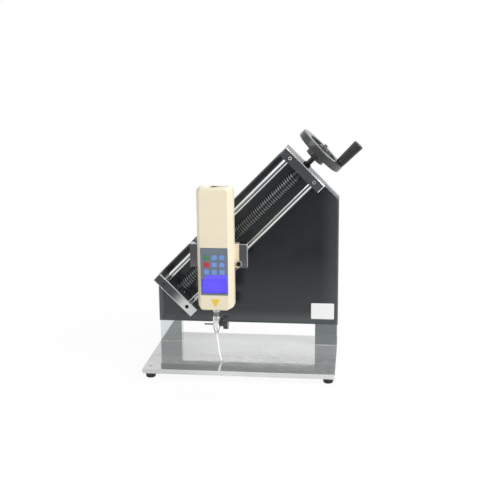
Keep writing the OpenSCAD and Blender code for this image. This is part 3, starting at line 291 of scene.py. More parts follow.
floor_reach, floor_drop = 6.0, 0.3*mm
across = np.linspace(-floor_reach, floor_reach, 13)
floor = skin("floor", np.stack(np.meshgrid(across, across, [-floor_drop], indexing="ij"), -1)[:, :, 0])
sweep, tree, shader = blank_material("white sweep")
shader["Base Color"].default_value = (0.86, 0.86, 0.86, 1)
shader["Roughness"].default_value = 0.9
shader["Specular IOR Level"].default_value = 0.0
place = own_place(tree)["Object"]
feed(tree, shader["Normal"], bump(tree, noise(tree, place, 60, 2), 0.2*mm, 0.1))
seen = tree.nodes.new("ShaderNodeLightPath").outputs
in_front = ramp(tree, parts(tree, place)["Y"], -0.2, -0.95, 0.95, 0.2, "SMOOTHSTEP")
shine = mixed(tree, "FLOAT", seen["Is Glossy Ray"], 1.0, in_front)
plain_white = set_up(tree, "Emission", Strength=shine)
far_off = in_order(tree, "VectorMath", "LENGTH", place)["Value"]
share = maths(tree, "MULTIPLY", maths(tree, "MAXIMUM", seen["Is Camera Ray"], seen["Is Glossy Ray"]),
              ramp(tree, far_off, 0.25, 0.7, 0.93, 1.0, "SMOOTHSTEP"))
blend = tree.nodes.new("ShaderNodeMixShader")
surface = tree.nodes["Material Output"].inputs["Surface"]
for socket, value in zip(blend.inputs, (share, surface.links[0].from_socket, plain_white.outputs[0])):
    feed(tree, socket, value)
feed(tree, surface, blend.outputs[0])
floor.data.materials.append(sweep)

sky = bpy.data.worlds.new("studio")
bpy.context.scene.world = sky
sky.use_nodes = True
tree = sky.node_tree
seen = tree.nodes.new("ShaderNodeLightPath").outputs
room = ramp(tree, parts(tree, own_place(tree)["Generated"])["Y"], -0.35, -0.95, 1.0, 0.35, "SMOOTHSTEP")
backdrop = tree.nodes["Background"].inputs
feed(tree, backdrop["Strength"], mixed(
    tree, "FLOAT", maths(tree, "MAXIMUM", seen["Is Camera Ray"], seen["Is Transmission Ray"]),
    mixed(tree, "FLOAT", seen["Is Glossy Ray"], 0.5, room), 1.0))
backdrop["Color"].default_value = (1, 1, 1, 1)

lamp_aim = Vector((0, 0, 0.2))
for name, spot, size, watts in (
        ("key lamp", (-1.3, -1.6, 2.2), 1.4, 17), ("fill lamp", (1.9, -0.9, 1.3), 1.4, 50),
        ("back lamp", (0.4, 1.9, 2.0), 1.6, 16)):
    lamp = bpy.data.lights.new(name, "AREA")
    lamp.size = size
    lamp.energy = watts
    holder = bpy.data.objects.new(name, lamp)
    holder.location = spot
    holder.rotation_euler = (lamp_aim - Vector(spot)).to_track_quat("-Z", "Y").to_euler()
    bpy.context.scene.collection.objects.link(holder)
bpy.context.scene.view_settings.view_transform = "Standard"

# ---------- base plate and legs ----------
# A thick stainless plate and two stainless blocks, polished like mirrors. The grain of the
# polishing wheel runs along the plate and up the legs, with fine scratches and smears. A pale
# matt line at each leg's foot is a painted highlight, and the left leg is painted paler and the
# right one darker, as painted light and shade.


def dress(material, *names):
    """Gives a material to CAD nodes that keep their own shape."""
    for name in names:
        for place in frame["nodes"][name].material_slots:
            place.material = material


def finish(name, main, worn, metallic, rough, grain, relief, swing=0.06, coat=0.0):
    """Material whose tone drifts from main to worn, both 0 to 255, and whose gloss and height
    follow noise on the piece's own coordinates. grain is the noise's cycles a metre, one number
    or one each along X, Y and Z, relief its height in metres, and swing how far the roughness
    goes either way."""
    material, tree, shader = blank_material(name)
    place = own_place(tree)["Object"]
    drift = noise(tree, place, 22, 4)
    fine = noise(tree, place, grain, 3)
    feed(tree, shader["Base Color"], mixed(tree, "RGBA", drift, tone(*main), tone(*worn)))
    both = maths(tree, "MULTIPLY", drift, fine)
    feed(tree, shader["Roughness"], ramp(tree, both, 0.15, 0.4, max(rough - swing, 0.02), rough + swing))
    if relief:
        feed(tree, shader["Normal"], bump(tree, fine, relief))
    shader["Metallic"].default_value = metallic
    if coat:
        shader["Coat Weight"].default_value = coat
        shader["Coat Roughness"].default_value = 0.06
    return material


def lay_over(material, share, colour):
    """Mixes a colour, 0 to 255, over a material's own by a share."""
    tree, base = material.node_tree, sockets(material)["Base Color"]
    feed(tree, base, mixed(tree, "RGBA", share, base.links[0].from_socket, tone(*colour)))


mirror_plate = finish("mirror stainless plate", (223, 225, 224), (206, 209, 208), 0.63, 0.06,
                      (40, 1400, 1400), 1e-6, swing=0.03)
tree, shader = mirror_plate.node_tree, sockets(mirror_plate)
place = own_place(tree)["Object"]
plate_parts = parts(tree, place)
scratch_rough, smear_share, left_darkening_share = 0.42, 0.62, 0.28
scratches = maths(tree, "MULTIPLY", *[ramp(tree, noise(tree, place, cycles, 2, 0.6), 0.53, 0.7)
                                      for cycles in ((30, 420, 420), (9, 40, 40))])
feed(tree, shader["Roughness"], mixed(
    tree, "FLOAT", scratches, shader["Roughness"].links[0].from_socket, scratch_rough))
plate_low, plate_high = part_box("base_plate")
plate_depth = plate_high[1] - plate_low[1]
worn_area = [ramp(tree, plate_parts["Y"], *(plate_high[1] - share*plate_depth for share in shares))
             for shares in ((0.46, 0.62), (0.865, 0.85))]
smears = ramp(tree, noise(tree, place, (70, 260, 260), 5, 0.8), 0.36, 0.66, 0.0, smear_share)
# The plate is also darker towards its left end.
left_darkening = ramp(tree, plate_parts["X"], plate_low[0] + 150*mm, plate_low[0] + 50*mm, 0.0, left_darkening_share,
            "SMOOTHSTEP")
smears_and_left_darkening = maths(tree, "MAXIMUM", maths(tree, "MULTIPLY", *worn_area, smears), left_darkening)
lay_over(mirror_plate, smears_and_left_darkening, (150, 150, 148))
# The plate is flat, but it is shaded as if it rose towards its front by 20 mm a metre.
mirror_lean = -0.02
feed(tree, shader["Normal"], bump(tree, maths(tree, "MULTIPLY", plate_parts["Y"], mirror_lean), 1.0,
                                  Normal=shader["Normal"].links[0].from_socket))
dress(mirror_plate, "base_plate")
foot_highlight_low, foot_highlight_high = 0.9*mm, 1.4*mm
# Both legs are the same steel: the left one's paler tone and the right one's darker tone are painted light
# and shade.
for leg, main, worn in (("left_leg", (226, 232, 234), (214, 220, 222)),
                        ("right_leg", (182, 188, 192), (172, 178, 182))):
    mirror_leg = finish("mirror stainless " + leg.replace("_", " "), main, worn, 0.9, 0.07,
                        (900, 900, 60), 1e-6, swing=0.03)
    tree = mirror_leg.node_tree
    height = parts(tree, own_place(tree)["Object"])["Z"]
    # Painted highlight: a pale, less metallic line along the leg's foot.
    painted_foot_highlight = ramp(tree, height, plate_top + foot_highlight_high, plate_top + foot_highlight_low)
    lay_over(mirror_leg, painted_foot_highlight, (212, 213, 211))
    feed(tree, sockets(mirror_leg)["Metallic"], ramp(tree, painted_foot_highlight, 0.0, 1.0, 0.9, 0.55))
    dress(mirror_leg, leg)

# ---------- feet and screws ----------
# Moulded black rubber buttons, each held by one screw from the top of the plate. The screws are
# zinc plated steel.
foot_rubber = finish("black rubber", (30, 30, 31), (48, 48, 48), 0.0, 0.72, 1500, 6e-6)
zinc = finish("zinc plated steel", (190, 192, 196), (160, 162, 165), 1.0, 0.3, 2500, 1e-6)
dress(foot_rubber, "rubber_feet")
dress(zinc, "foot_screws", "leg_screws", "cover_screws", "cover_spacers", "gauge_screws", "cell_screws",
      "wheel_key", "crank_pin")

# ---------- housing ----------
# One sheet of steel folded into a shallow five-sided pan with rounded folds, and sprayed with
# gloss black paint. It is paler along its folds, which is a painted sheen, and in a band beside its
# upper left slope, which is painted light. A flat cover closes its back.
pan_low, pan_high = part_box("housing_shell")
sheet, fold_r, fold_lip = 1.5*mm, 5.0*mm, 0.6*mm
slope_half = 178.0 * mm
pan_foot = 43.0 * mm
middle_x = (plate_low[0] + plate_high[0]) / 2
root2 = math.sqrt(2)
slope_left = 223.0 * mm
slope_right = 334.947 * mm
pan_outline = np.array([
    [-slope_half, pan_foot], [slope_half, pan_foot], [slope_half, slope_right*root2 - slope_half],
    [(slope_right - slope_left)/root2, (slope_right + slope_left)/root2],
    [-slope_half, slope_left*root2 - slope_half]])
pan_outline += [middle_x, plate_top]


def drawn_in(outline, inset):
    """Convex outline moved inwards: each corner goes to where its two edges' moved lines meet."""
    ahead = np.roll(outline, -1, axis=0) - outline
    ahead /= np.linalg.norm(ahead, axis=1)[:, None]
    inward = np.stack([-ahead[:, 1], ahead[:, 0]], 1)
    before = np.roll(inward, 1, axis=0)
    return outline + inset*(inward + before)/(1 + (inward*before).sum(1))[:, None]


def along_edges(corners, count):
    """Points along a closed outline, count on each side, starting at each corner."""
    t = np.linspace(0, 1, count, endpoint=False)[None, :, None]
    return (corners[:, None]*(1 - t) + np.roll(corners, -1, axis=0)[:, None]*t).reshape(-1, 2)


def upright(outline, depth):
    """Outline in X and Z set upright at a depth."""
    return np.stack([outline[:, 0], np.full(len(outline), depth), outline[:, 1]], 1)


def dot(tree, vector, direction):
    """Length of a vector along a direction."""
    return in_order(tree, "VectorMath", "DOT_PRODUCT", vector, direction)["Value"]


def settle(piece, material, body, slot, *nodes):
    """Gives a piece its material, makes it ride on its body, and lets it stand for the nodes that
    it replaces. Its slot is not used."""
    piece.data.materials.append(material)
    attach(piece, body)
    if nodes:
        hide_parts(*nodes)


fold = np.linspace(0, math.pi/2, 13)[1:]
pan_rows = [(0.0, pan_high[1]), (0.0, pan_low[1] + fold_r)]
pan_rows += [(fold_r*(1 - math.cos(a)), pan_low[1] + fold_r*(1 - math.sin(a))) for a in fold]
pan_rows += [(fold_r + fold_lip, pan_low[1])]
pan_grid = [upright(along_edges(drawn_in(pan_outline, inset), 12), depth) for inset, depth in pan_rows]
face_edge, face_middle = pan_grid[-1], upright(pan_outline.mean(axis=0)[None], pan_low[1])
pan_grid += [face_middle + share*(face_edge - face_middle) for share in (0.6, 0.3, 0.0)]
pan = skin("folded_housing", np.array(pan_grid), round_columns=True, crease=50)
wall = pan.modifiers.new("sheet", "SOLIDIFY")
wall.thickness = sheet
wall.offset = -1
black_paint = finish("gloss black paint", (26, 28, 32), (38, 41, 47), 0.0, 0.2, 420, 3e-6, swing=0.05,
                     coat=0.2)
tree = black_paint.node_tree
place = own_place(tree)["Object"]
pan_parts = parts(tree, place)
# Painted sheen: the paint is paler along the left and bottom folds and towards the right edge.
folds = [ramp(tree, pan_parts[axis], start, end, 0.0, most, "SMOOTHSTEP") for axis, start, end, most in (
    ("X", pan_low[0] + 12*mm, pan_low[0] + 8*mm, 0.85), ("Z", pan_low[2] + 30*mm, pan_low[2] + 4*mm, 0.6),
    ("X", pan_high[0] - 40*mm, pan_high[0] - 3*mm, 0.28))]
# Painted light: a paler band beside the upper left slope, on the front face only.
slope_start = (pan_outline[4][0], 0, pan_outline[4][1])
inward = dot(tree, in_order(tree, "VectorMath", "SUBTRACT", place, slope_start)["Vector"],
             (1/root2, 0, -1/root2))
on_face = maths(tree, "LESS_THAN", pan_parts["Y"], pan_low[1] + 1*mm)
painted_slope_light = maths(tree, "MULTIPLY", on_face, ramp(tree, inward, 4*mm, 14*mm),
                   ramp(tree, inward, 94*mm, 82*mm), 0.3)
lay_over(black_paint, maths(tree, "MAXIMUM", *folds, painted_slope_light), (88, 96, 97))
settle(pan, black_paint, "frame", "black_paint", "housing_shell")
dress(black_paint, "back_cover", "frame_screws")
# The plate inside it is milled aluminium, as the carriage block and the load cell are.
bare_aluminium = finish("milled aluminium", (188, 190, 194), (170, 172, 175), 1.0, 0.32, (60, 1800, 1800),
                        3e-6)
dress(bare_aluminium, "frame_plate", "carriage_block", "load_cell")

# ---------- blank label ----------
# A plain white vinyl label with rounded corners, stuck on the housing's lower right. It is bare.


def rounded(w, h, r, depth, middle, per_corner=8):
    """Rounded rectangle of points that faces the operator at a depth: four arcs round a middle
    (x, z), joined by its sides."""
    turn = np.linspace(0, math.pi/2, per_corner)
    points = []
    for k, (sx, sz) in enumerate(((1, 1), (-1, 1), (-1, -1), (1, -1))):
        a = turn + k*math.pi/2
        points.append(np.stack([sx*(w/2 - r) + r*np.cos(a), sz*(h/2 - r) + r*np.sin(a)], 1))
    return upright(np.concatenate(points) + middle, depth)


def slab(name, rows, middle):
    """Plate that faces the operator: each row is (width, height, corner radius, depth), and the
    last row closes on the centre line, so a crowned face is a few rows of growing height."""
    rings = [rounded(w, h, max(min(r, w/2, h/2), 0), depth, middle) for w, h, r, depth in rows]
    return skin(name, np.array(rings), round_columns=True)


label_w, label_h, label_t, label_r = 44.7*mm, 32.0*mm, 0.15*mm, 2.0*mm
label_right, label_up = 148.2*mm, 71.0*mm
label_front = pan_low[1] - label_t
label = slab("blank_label", [
    (0, 0, 0, pan_low[1]), (label_w, label_h, label_r, pan_low[1]),
    (label_w, label_h, label_r, label_front),
    (label_w - 1*mm, label_h - 1*mm, label_r - 0.5*mm, label_front), (0, 0, 0, label_front)],
    (middle_x + label_right, plate_top + label_up))
vinyl = finish("white vinyl", (236, 237, 236), (226, 227, 226), 0.0, 0.35, 900, 2e-6)
settle(label, vinyl, "frame", "cream_plastic")

# ---------- stage: end blocks ----------
# Black anodised aluminium blocks. Their front chamfers and a strip at the lower right end of each
# front carry painted highlights, and the lower block's front carries a painted reflection that
# brightens towards its lower end.


def joint_place(name):
    """Place of a joint's axis."""
    return np.array(next(joint["pos_m"] for joint in frame["joints"] if joint["name"] == name))


def middle_of(name):
    """Middle of a CAD node's box."""
    return np.mean(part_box(name), axis=0)


screw_axis = joint_place("screw_spin")
up_slope = np.array([1, 0, 1]) / root2
square = np.array([-1, 0, 1]) / root2
depthwise = np.array([0.0, 1.0, 0.0])
upper_face = 319.947 * mm
stage_half, end_highlight_width = 50.0*mm, 1.3*mm


def on_stage(u, y, n):
    """Point of the stage: y in depth and n square to the slope, both from the screw's axis, and
    u along the slope, where the screw's joint is at upper_face."""
    u, y, n = np.broadcast_arrays(u, y, n)
    return screw_axis + (u - upper_face)[..., None]*up_slope + y[..., None]*depthwise + n[..., None]*square


def near(tree, value, middle, reach):
    """1 where a number is within reach of middle, and 0 elsewhere."""
    return in_order(tree, "Math", "COMPARE", value, middle, reach)[0]


def anodised(name, reflection_from, reflection_to, highlight_over):
    """Black anodising with bright metal painted on as highlights and a reflection: along the stage's
    width from one distance to another, measured square to the slope from the screw's axis, in a
    narrow strip at that end of the block, and on the front chamfers whose normal has more than a
    given share up the slope."""
    material = finish(name, (58, 61, 65), (72, 75, 79), 0.0, 0.34, 1200, 2e-6, swing=0.08, coat=0.25)
    tree = material.node_tree
    place = own_place(tree)
    across = dot(tree, place["Object"], square)
    start = float(screw_axis @ square)
    # Painted reflection: the front brightens across the stage's width.
    painted_front_reflection = ramp(tree, across, start + reflection_from, start + reflection_to, ease="SMOOTHERSTEP")
    # Painted highlight: a narrow strip at the block's lower right end.
    painted_end_highlight = maths(tree, "LESS_THAN", across, start - stage_half + end_highlight_width)
    facing = parts(tree, place["Normal"])["Y"]
    on_front = maths(tree, "LESS_THAN", facing, -0.9)
    chosen = maths(tree, "GREATER_THAN", dot(tree, place["Normal"], up_slope), highlight_over)
    # The painted highlights and reflection are laid on as bright metal, the chamfers' on any face and the
    # rest on the front only.
    bright = maths(tree, "MAXIMUM", maths(tree, "MULTIPLY", near(tree, facing, -0.707, 0.12), chosen),
                   maths(tree, "MULTIPLY", maths(tree, "MAXIMUM", painted_front_reflection, painted_end_highlight), on_front))
    feed(tree, sockets(material)["Metallic"], maths(tree, "MULTIPLY", bright, 0.2))
    lay_over(material, bright, (228, 230, 231))
    return material


def bare_ring(material, centre, inner, outer, colour):
    """Lays a colour over a material between two distances from a line that runs in depth
    through a centre (x, z)."""
    tree = material.node_tree
    away = in_order(tree, "VectorMath", "SUBTRACT", own_place(tree)["Object"], (centre[0], 0, centre[1]))
    flat = in_order(tree, "VectorMath", "MULTIPLY", away["Vector"], (1, 0, 1))
    length = in_order(tree, "VectorMath", "LENGTH", flat["Vector"])["Value"]
    lay_over(material, near(tree, length, (inner + outer)/2, (outer - inner)/2), colour)


dress(anodised("upper block anodising", -300*mm, -400*mm, -0.3), "upper_end_block")
dress(anodised("lower block anodising", 12*mm, -32*mm, -1), "lower_end_block")
black_screw = finish("black oxide steel", (28, 28, 30), (44, 44, 46), 0.6, 0.38, 2500, 2e-6)
dress(black_screw, "block_bolts", "nut_screws", "mount_screws", "shaft_collar", "side_bar")
set_screws = []
for block in ("upper_end_block", "lower_end_block"):
    middle_u = (middle_of(block) - screw_axis) @ up_slope
    for rod in ("upper_guide_rod", "lower_guide_rod"):
        rod_n = (middle_of(rod) - screw_axis) @ square
        set_screws.append((screw_axis + middle_u*up_slope + rod_n*square)[[0, 2]].tolist())
ringed_screw = finish("black set screw with bright rim", (24, 24, 26), (36, 36, 38), 0.3, 0.34, 2500, 2e-6)
# Three of the four have a bright or greenish ring painted on the face as a painted highlight on
# the rim, and the last one is black all over.
for centre, (inner, outer, colour) in zip(set_screws, (
        (1.9, 3.3, (238, 240, 240)), (1.9, 3.3, (196, 200, 202)), (2.1, 3.1, (98, 112, 106)))):
    bare_ring(ringed_screw, centre, inner*mm, outer*mm, colour)
dress(ringed_screw, "rod_set_screws")
washered_screw = finish("black screw on bright washer", (28, 28, 30), (44, 44, 46), 0.4, 0.34, 2500, 2e-6)
bare_ring(washered_screw, middle_of("lock_screw")[[0, 2]].tolist(), 4.3*mm, 6.5*mm, (236, 230, 218))
dress(washered_screw, "lock_screw")

# ---------- guide rods, bearings and bushes ----------
# Ground and hard-chromed round bars, and the bright steel of the bearings and linear bushes.
# A darker line along each bar is a painted reflection.
chrome = finish("ground chrome", (226, 228, 230), (214, 216, 218), 1.0, 0.07, 3000, 0, swing=0.02)
dress(chrome, "ball_bearings", "bearing_inner_rings", "linear_bushes", "wheel_nut", "load_shaft",
      "clamp_pad")
rod_chrome = finish("hard chrome with painted dark line", (232, 234, 235), (220, 222, 223), 1.0, 0.1, 3000, 0, swing=0.02)
tree = rod_chrome.node_tree
# Painted reflection: a darker band along the sides of each bar that face the front and back.
lay_over(rod_chrome, near(tree, dot(tree, own_place(tree)["Normal"], square), 0.08, 0.24), (158, 161, 160))
dress(rod_chrome, "upper_guide_rod", "lower_guide_rod")

# ---------- lead screw ----------
# A rolled trapezoidal screw, right-handed, 22 mm over its crests with a 5 mm lead. Its steel is
# dark, and its crests are painted lighter as a painted highlight.
thread_r, thread_root, lead = 11.0*mm, 8.5*mm, 5.0*mm
lower_face = -6.053 * mm
thread_from, thread_to = lower_face + 4*mm, upper_face - 4*mm
shoulder_r, journal_r, nut_thread_r = 7.0*mm, 5.0*mm, 4.0*mm
wheel_face = 383.947 * mm
screw_start, screw_tip = lower_face - 8*mm, wheel_face + 7.6*mm


def revolved(profile, columns):
    """Surface of a profile turned round the screw's axis: each profile point is (radius, place
    along the slope), and a radius of nothing closes it."""
    angle = full_turn(columns)
    r, u = np.transpose(profile)[:, :, None]
    return on_stage(u + 0*angle, r*np.cos(angle), r*np.sin(angle))


def joined(name, *pieces):
    """One object that holds the closed shells of several."""
    shape = bmesh.new()
    for piece in pieces:
        shape.from_mesh(piece.data)
    pieces[0].data.clear_geometry()
    shape.to_mesh(pieces[0].data)
    shape.free()
    for piece in pieces[1:]:
        bpy.data.objects.remove(piece)
    pieces[0].name = name
    return pieces[0]


core_grid = revolved([
    (0, screw_start), (journal_r, screw_start), (journal_r, lower_face), (shoulder_r, lower_face),
    (shoulder_r, thread_from), (thread_root, thread_from), (thread_root, thread_to),
    (shoulder_r, thread_to), (shoulder_r, upper_face), (journal_r, upper_face),
    (journal_r, wheel_face - 1*mm), (nut_thread_r, wheel_face - 1*mm), (nut_thread_r, screw_tip - 1*mm),
    (nut_thread_r - 1*mm, screw_tip), (0, screw_tip)], 64)
core = skin("screw_core", core_grid, round_columns=True, tags=np.zeros(core_grid.shape[:2]))
steps_a_turn, sunk = 44, 0.3*mm
turns = math.floor((thread_to - thread_from)/lead) - 1
ridge_angle = np.linspace(0, 2*math.pi*turns, turns*steps_a_turn + 1)[:, None]
flank = (thread_r - thread_root)*math.tan(math.radians(15))
rise = np.array([[0, 1, 1, 0]])*(thread_r - thread_root + sunk)
ridge_u = np.array([[0, flank, lead/2, lead/2 + flank]])
fade_in = np.clip(ridge_angle/(math.pi/2), 0, 1)*np.clip((ridge_angle[-1] - ridge_angle)/(math.pi/2), 0, 1)
ridge_r = thread_root - sunk + rise*fade_in
ridge_u = thread_from + 1*mm + lead*ridge_angle/(2*math.pi) + ridge_u*fade_in
ridge = skin("screw_thread", on_stage(ridge_u, -ridge_r*np.cos(ridge_angle), ridge_r*np.sin(ridge_angle)),
             round_columns=True, tags=np.broadcast_to([[0.0, 1.0, 1.0, 0.0]], ridge_r.shape))
screw = joined("threaded_screw", core, ridge)
screw_steel = finish("screw steel with painted crest highlight", (78, 81, 84), (60, 62, 65), 1.0, 0.34, 1500, 4e-6)
# Painted highlight: the thread's crests, tagged 1, are painted lighter.
crest_highlight = screw_steel.node_tree.nodes.new("ShaderNodeAttribute")
crest_highlight.attribute_name = "tag"
lay_over(screw_steel, crest_highlight.outputs["Fac"], (132, 135, 137))
settle(screw, screw_steel, "screw", "screw_steel", "lead_screw")

# ---------- hand wheel ----------
# Gloss black moulding: a rounded rim round a dished web, with a hub on both sides. A key and a
# bright nut hold it on the screw.
rim_r, rim_w, rim_t = 49.75*mm, 17.5*mm, 14.5*mm
hub_r, hub_l, boss_r, dish = 19.25*mm, 11.5*mm, 10.0*mm, 6.5*mm
rim_inner, rim_back, web_face = rim_r - rim_w, wheel_face - rim_t, wheel_face - dish
hub_back = rim_back - hub_l


def arc(r, u, size, start, end):
    """Part of a circle in a profile, round (r, u), from one angle to another in degrees."""
    a = np.radians(np.linspace(start, end, 8))
    return list(zip(r + size*np.cos(a), u + size*np.sin(a)))


wheel_profile = (
    [(journal_r, hub_back)] + arc(hub_r - 1.5*mm, hub_back + 1.5*mm, 1.5*mm, -90, 0)
    + [(hub_r, rim_back - 1*mm), (hub_r + 1*mm, rim_back), (rim_inner, rim_back)]
    + arc(rim_r - 3*mm, rim_back + 3*mm, 3*mm, -90, 0)
    + arc(rim_r - 1.5*mm, wheel_face - 1.5*mm, 1.5*mm, 0, 90)
    + arc(rim_inner + 0.8*mm, wheel_face - 0.8*mm, 0.8*mm, 90, 180)
    + [(rim_inner - 0.4*mm, web_face + 1.5*mm), (rim_inner - 2*mm, web_face),
       (boss_r + 1.5*mm, web_face), (boss_r + 0.3*mm, web_face + 1.2*mm)]
    + arc(boss_r - 1*mm, wheel_face - 1*mm, 1*mm, 0, 90) + [(journal_r, wheel_face)])
wheel = skin("hand_wheel_moulding", revolved(wheel_profile, 128), round_rows=True, round_columns=True)
black_gloss = finish("gloss black phenolic", (48, 50, 52), (62, 64, 66), 0.0, 0.26, 700, 3e-6, coat=0.1)
settle(wheel, black_gloss, "screw", "black_phenolic", "hand_wheel")

# ---------- crank handle ----------
# Black moulded grip with eight flutes, a little thicker at its tip. It turns freely on a
# shouldered pin in the wheel's rim.
crank_n = float((joint_place("crank_spin") - screw_axis) @ square)
handle_l, foot_r, tip_r, tip_round = 51.0*mm, 8.5*mm, 10.0*mm, 2.5*mm
handle_from = wheel_face + 0.3*mm
handle_to = handle_from + handle_l
flute_count, flute_depth, flute_w = 8, 1.3*mm, 0.55
bore_r, head_r, head_sink = 3.55*mm, 5.8*mm, 3.7*mm
handle_side = [(foot_r + (tip_r - foot_r)*s, handle_from + 1*mm + (handle_l - 1*mm - tip_round)*s)
               for s in np.linspace(0, 1, 14)]
handle_r, handle_u = np.transpose(
    [(bore_r, handle_from), (foot_r - 1*mm, handle_from)] + handle_side
    + arc(tip_r - tip_round, handle_to - tip_round, tip_round, 12, 90)
    + [(head_r + 0.3*mm, handle_to), (head_r, handle_to - 0.3*mm), (head_r, handle_to - head_sink),
       (bore_r, handle_to - head_sink)])[:, :, None]
handle_angle = full_turn(128)
in_flutes = (np.clip((handle_u - handle_from - 3*mm)/(4*mm), 0, 1)
             * np.clip((handle_r - head_r - 0.4*mm)/(2*mm), 0, 1))
valley = np.exp(-(np.sin(flute_count*handle_angle/2 + math.pi/2)/flute_w)**2)
handle_r = handle_r - flute_depth*in_flutes*valley
handle = skin("fluted_crank_handle", on_stage(
    handle_u + 0*handle_angle, handle_r*np.cos(handle_angle), crank_n + handle_r*np.sin(handle_angle)),
    round_rows=True, round_columns=True, crease=50)
handle_plastic = finish("black moulded handle", (26, 27, 28), (38, 39, 40), 0.0, 0.3, 1200, 4e-6, coat=0.2)
settle(handle, handle_plastic, "crank", "black_phenolic", "crank_handle")

# ---------- carriage and mounting plate ----------
# The lead nut is turned from bronze. The plate in front of the carriage is polished steel, with a
# cream band beside the gauge for the gauge's mirror image, and pale ends.
bronze = finish("turned bronze", (190, 150, 88), (160, 122, 66), 1.0, 0.3, 2000, 2e-6)
dress(bronze, "lead_nut")
dark_mirror = finish("polished mounting plate", (184, 185, 188), (166, 167, 170), 1.0, 0.06,
                     (90, 900, 900), 1e-6, swing=0.03)
tree = dark_mirror.node_tree
place = own_place(tree)
gauge_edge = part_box("gauge_rear_shell")[1][0]
mount_x = parts(tree, place["Object"])["X"]
at_gauge = maths(tree, "MULTIPLY", ramp(tree, mount_x, gauge_edge + 7.9*mm, gauge_edge + 7.3*mm),
                 maths(tree, "GREATER_THAN", mount_x, gauge_edge - 12*mm))
ends = maths(tree, "GREATER_THAN", parts(tree, place["Normal"])["X"], 0.6)
lay_over(dark_mirror, at_gauge, (246, 231, 207))
lay_over(dark_mirror, ends, (226, 228, 230))
feed(tree, sockets(dark_mirror)["Metallic"],
     ramp(tree, maths(tree, "MAXIMUM", at_gauge, ends), 0.0, 1.0, 1.0, 0.25))
dress(dark_mirror, "mount_plate")

# ---------- gauge shells ----------
# Two cream ABS mouldings that meet half way back. The front one has sides that taper to a
# narrower face with soft edges, and a shallow recess for the keypad panel.
front_low, front_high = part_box("gauge_front_shell")
gauge_x, _, gauge_z = middle_of("gauge_front_shell")
gauge_w, gauge_h = front_high[0] - front_low[0], front_high[2] - front_low[2]
gauge_face, gauge_seam, gauge_back = front_low[1], front_high[1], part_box("gauge_rear_shell")[1][1]
face_w, shell_wall, seam_groove, groove_step = 54.0*mm, 2.2*mm, 0.35*mm, 0.4*mm
soft, rear_soft, outer_r = 3.0*mm, 3.5*mm, 8.0*mm
panel_low, panel_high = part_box("keypad_panel")
panel_w, panel_h = panel_high[0] - panel_low[0], panel_high[2] - panel_low[2]
panel_z = middle_of("keypad_panel")[2]


def inset(amount, r, depth):
    """Row of a shell, this much inside the gauge's outline on each side."""
    return gauge_w - 2*amount, gauge_h - 2*amount, r, depth


def shell_rings(middle_z, rows):
    """Rings of a shell: each row is (width, height, corner radius, depth)."""
    return [rounded(*row, (gauge_x, middle_z), 12) for row in rows]


def turned_upright(profile, x, y):
    """Surface of a profile turned round an upright line at (x, y): each profile point is
    (radius, height)."""
    angle = full_turn(48)
    r, z = np.transpose(profile)[:, :, None]
    return np.stack([x + r*np.cos(angle), y + r*np.sin(angle), z + 0*angle], -1)


turn_in = np.linspace(0, math.pi/2, 9)[1:]
taper = (gauge_w - face_w)/2
side_depth = gauge_seam - gauge_face - groove_step - soft
side_rows = [(gauge_w - 2*taper*0.86*s, gauge_h - 1.2*mm*s, outer_r - 1.0*mm*s,
              gauge_seam - groove_step - side_depth*s) for s in np.linspace(0, 1, 7)]
edge_w, edge_h, edge_r, _ = side_rows[-1]
edge_rows = [(edge_w - 2*soft*0.75*(1 - math.cos(a)), edge_h - 2*soft*(1 - math.cos(a)),
              edge_r - 3.5*mm*(1 - math.cos(a)), gauge_face + soft*(1 - math.sin(a))) for a in turn_in]
recess, inner_face = gauge_face + 0.6*mm, gauge_face + shell_wall
panel_rows = [(panel_w + more*mm, panel_h + more*mm, r*mm, depth) for more, r, depth in (
    (0.3, 0.6, gauge_face), (0.1, 0.5, gauge_face + 0.15*mm), (0.1, 0.5, recess), (-3, 1, recess),
    (-3, 1, inner_face))]
front_rings = (
    shell_rings(gauge_z, [inset(shell_wall, 6*mm, gauge_seam), inset(seam_groove, outer_r, gauge_seam),
                          inset(seam_groove, outer_r, gauge_seam - 0.3*mm)] + side_rows + edge_rows)
    + shell_rings(panel_z, panel_rows)
    + shell_rings(gauge_z, [(gauge_w - 2*shell_wall - 2*taper*0.8, gauge_h - 2*shell_wall, 5*mm,
                             inner_face + 0.8*mm)]))
rear_rings = shell_rings(
    gauge_z, [inset(shell_wall, 6*mm, gauge_seam), inset(seam_groove, outer_r, gauge_seam),
              inset(seam_groove, outer_r, gauge_seam + 0.3*mm), inset(0, outer_r, gauge_seam + groove_step),
              inset(0, outer_r, gauge_back - rear_soft)]
    + [inset(rear_soft*(1 - math.cos(a)), outer_r - 3*mm*(1 - math.cos(a)),
             gauge_back - rear_soft*(1 - math.sin(a))) for a in turn_in]
    + [inset(12*mm, 3*mm, gauge_back), (0, 0, 0, gauge_back), (0, 0, 0, gauge_back - shell_wall),
       inset(shell_wall, 6*mm, gauge_back - shell_wall)])
cream = finish("cream moulded plastic", (228, 219, 194), (223, 213, 187), 0.0, 0.42, 1600, 6e-6, swing=0.05)
socket_r, socket_x, socket_y = 7.0*mm, *middle_of("data_socket")[:2]
drill_from, drill_to = (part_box("data_socket")[1][2] + step for step in (-6*mm, 6*mm))
drill = skin("drill", turned_upright(
    [(0, drill_from), (socket_r, drill_from), (socket_r, drill_to), (0, drill_to)], socket_x, socket_y),
    round_columns=True)
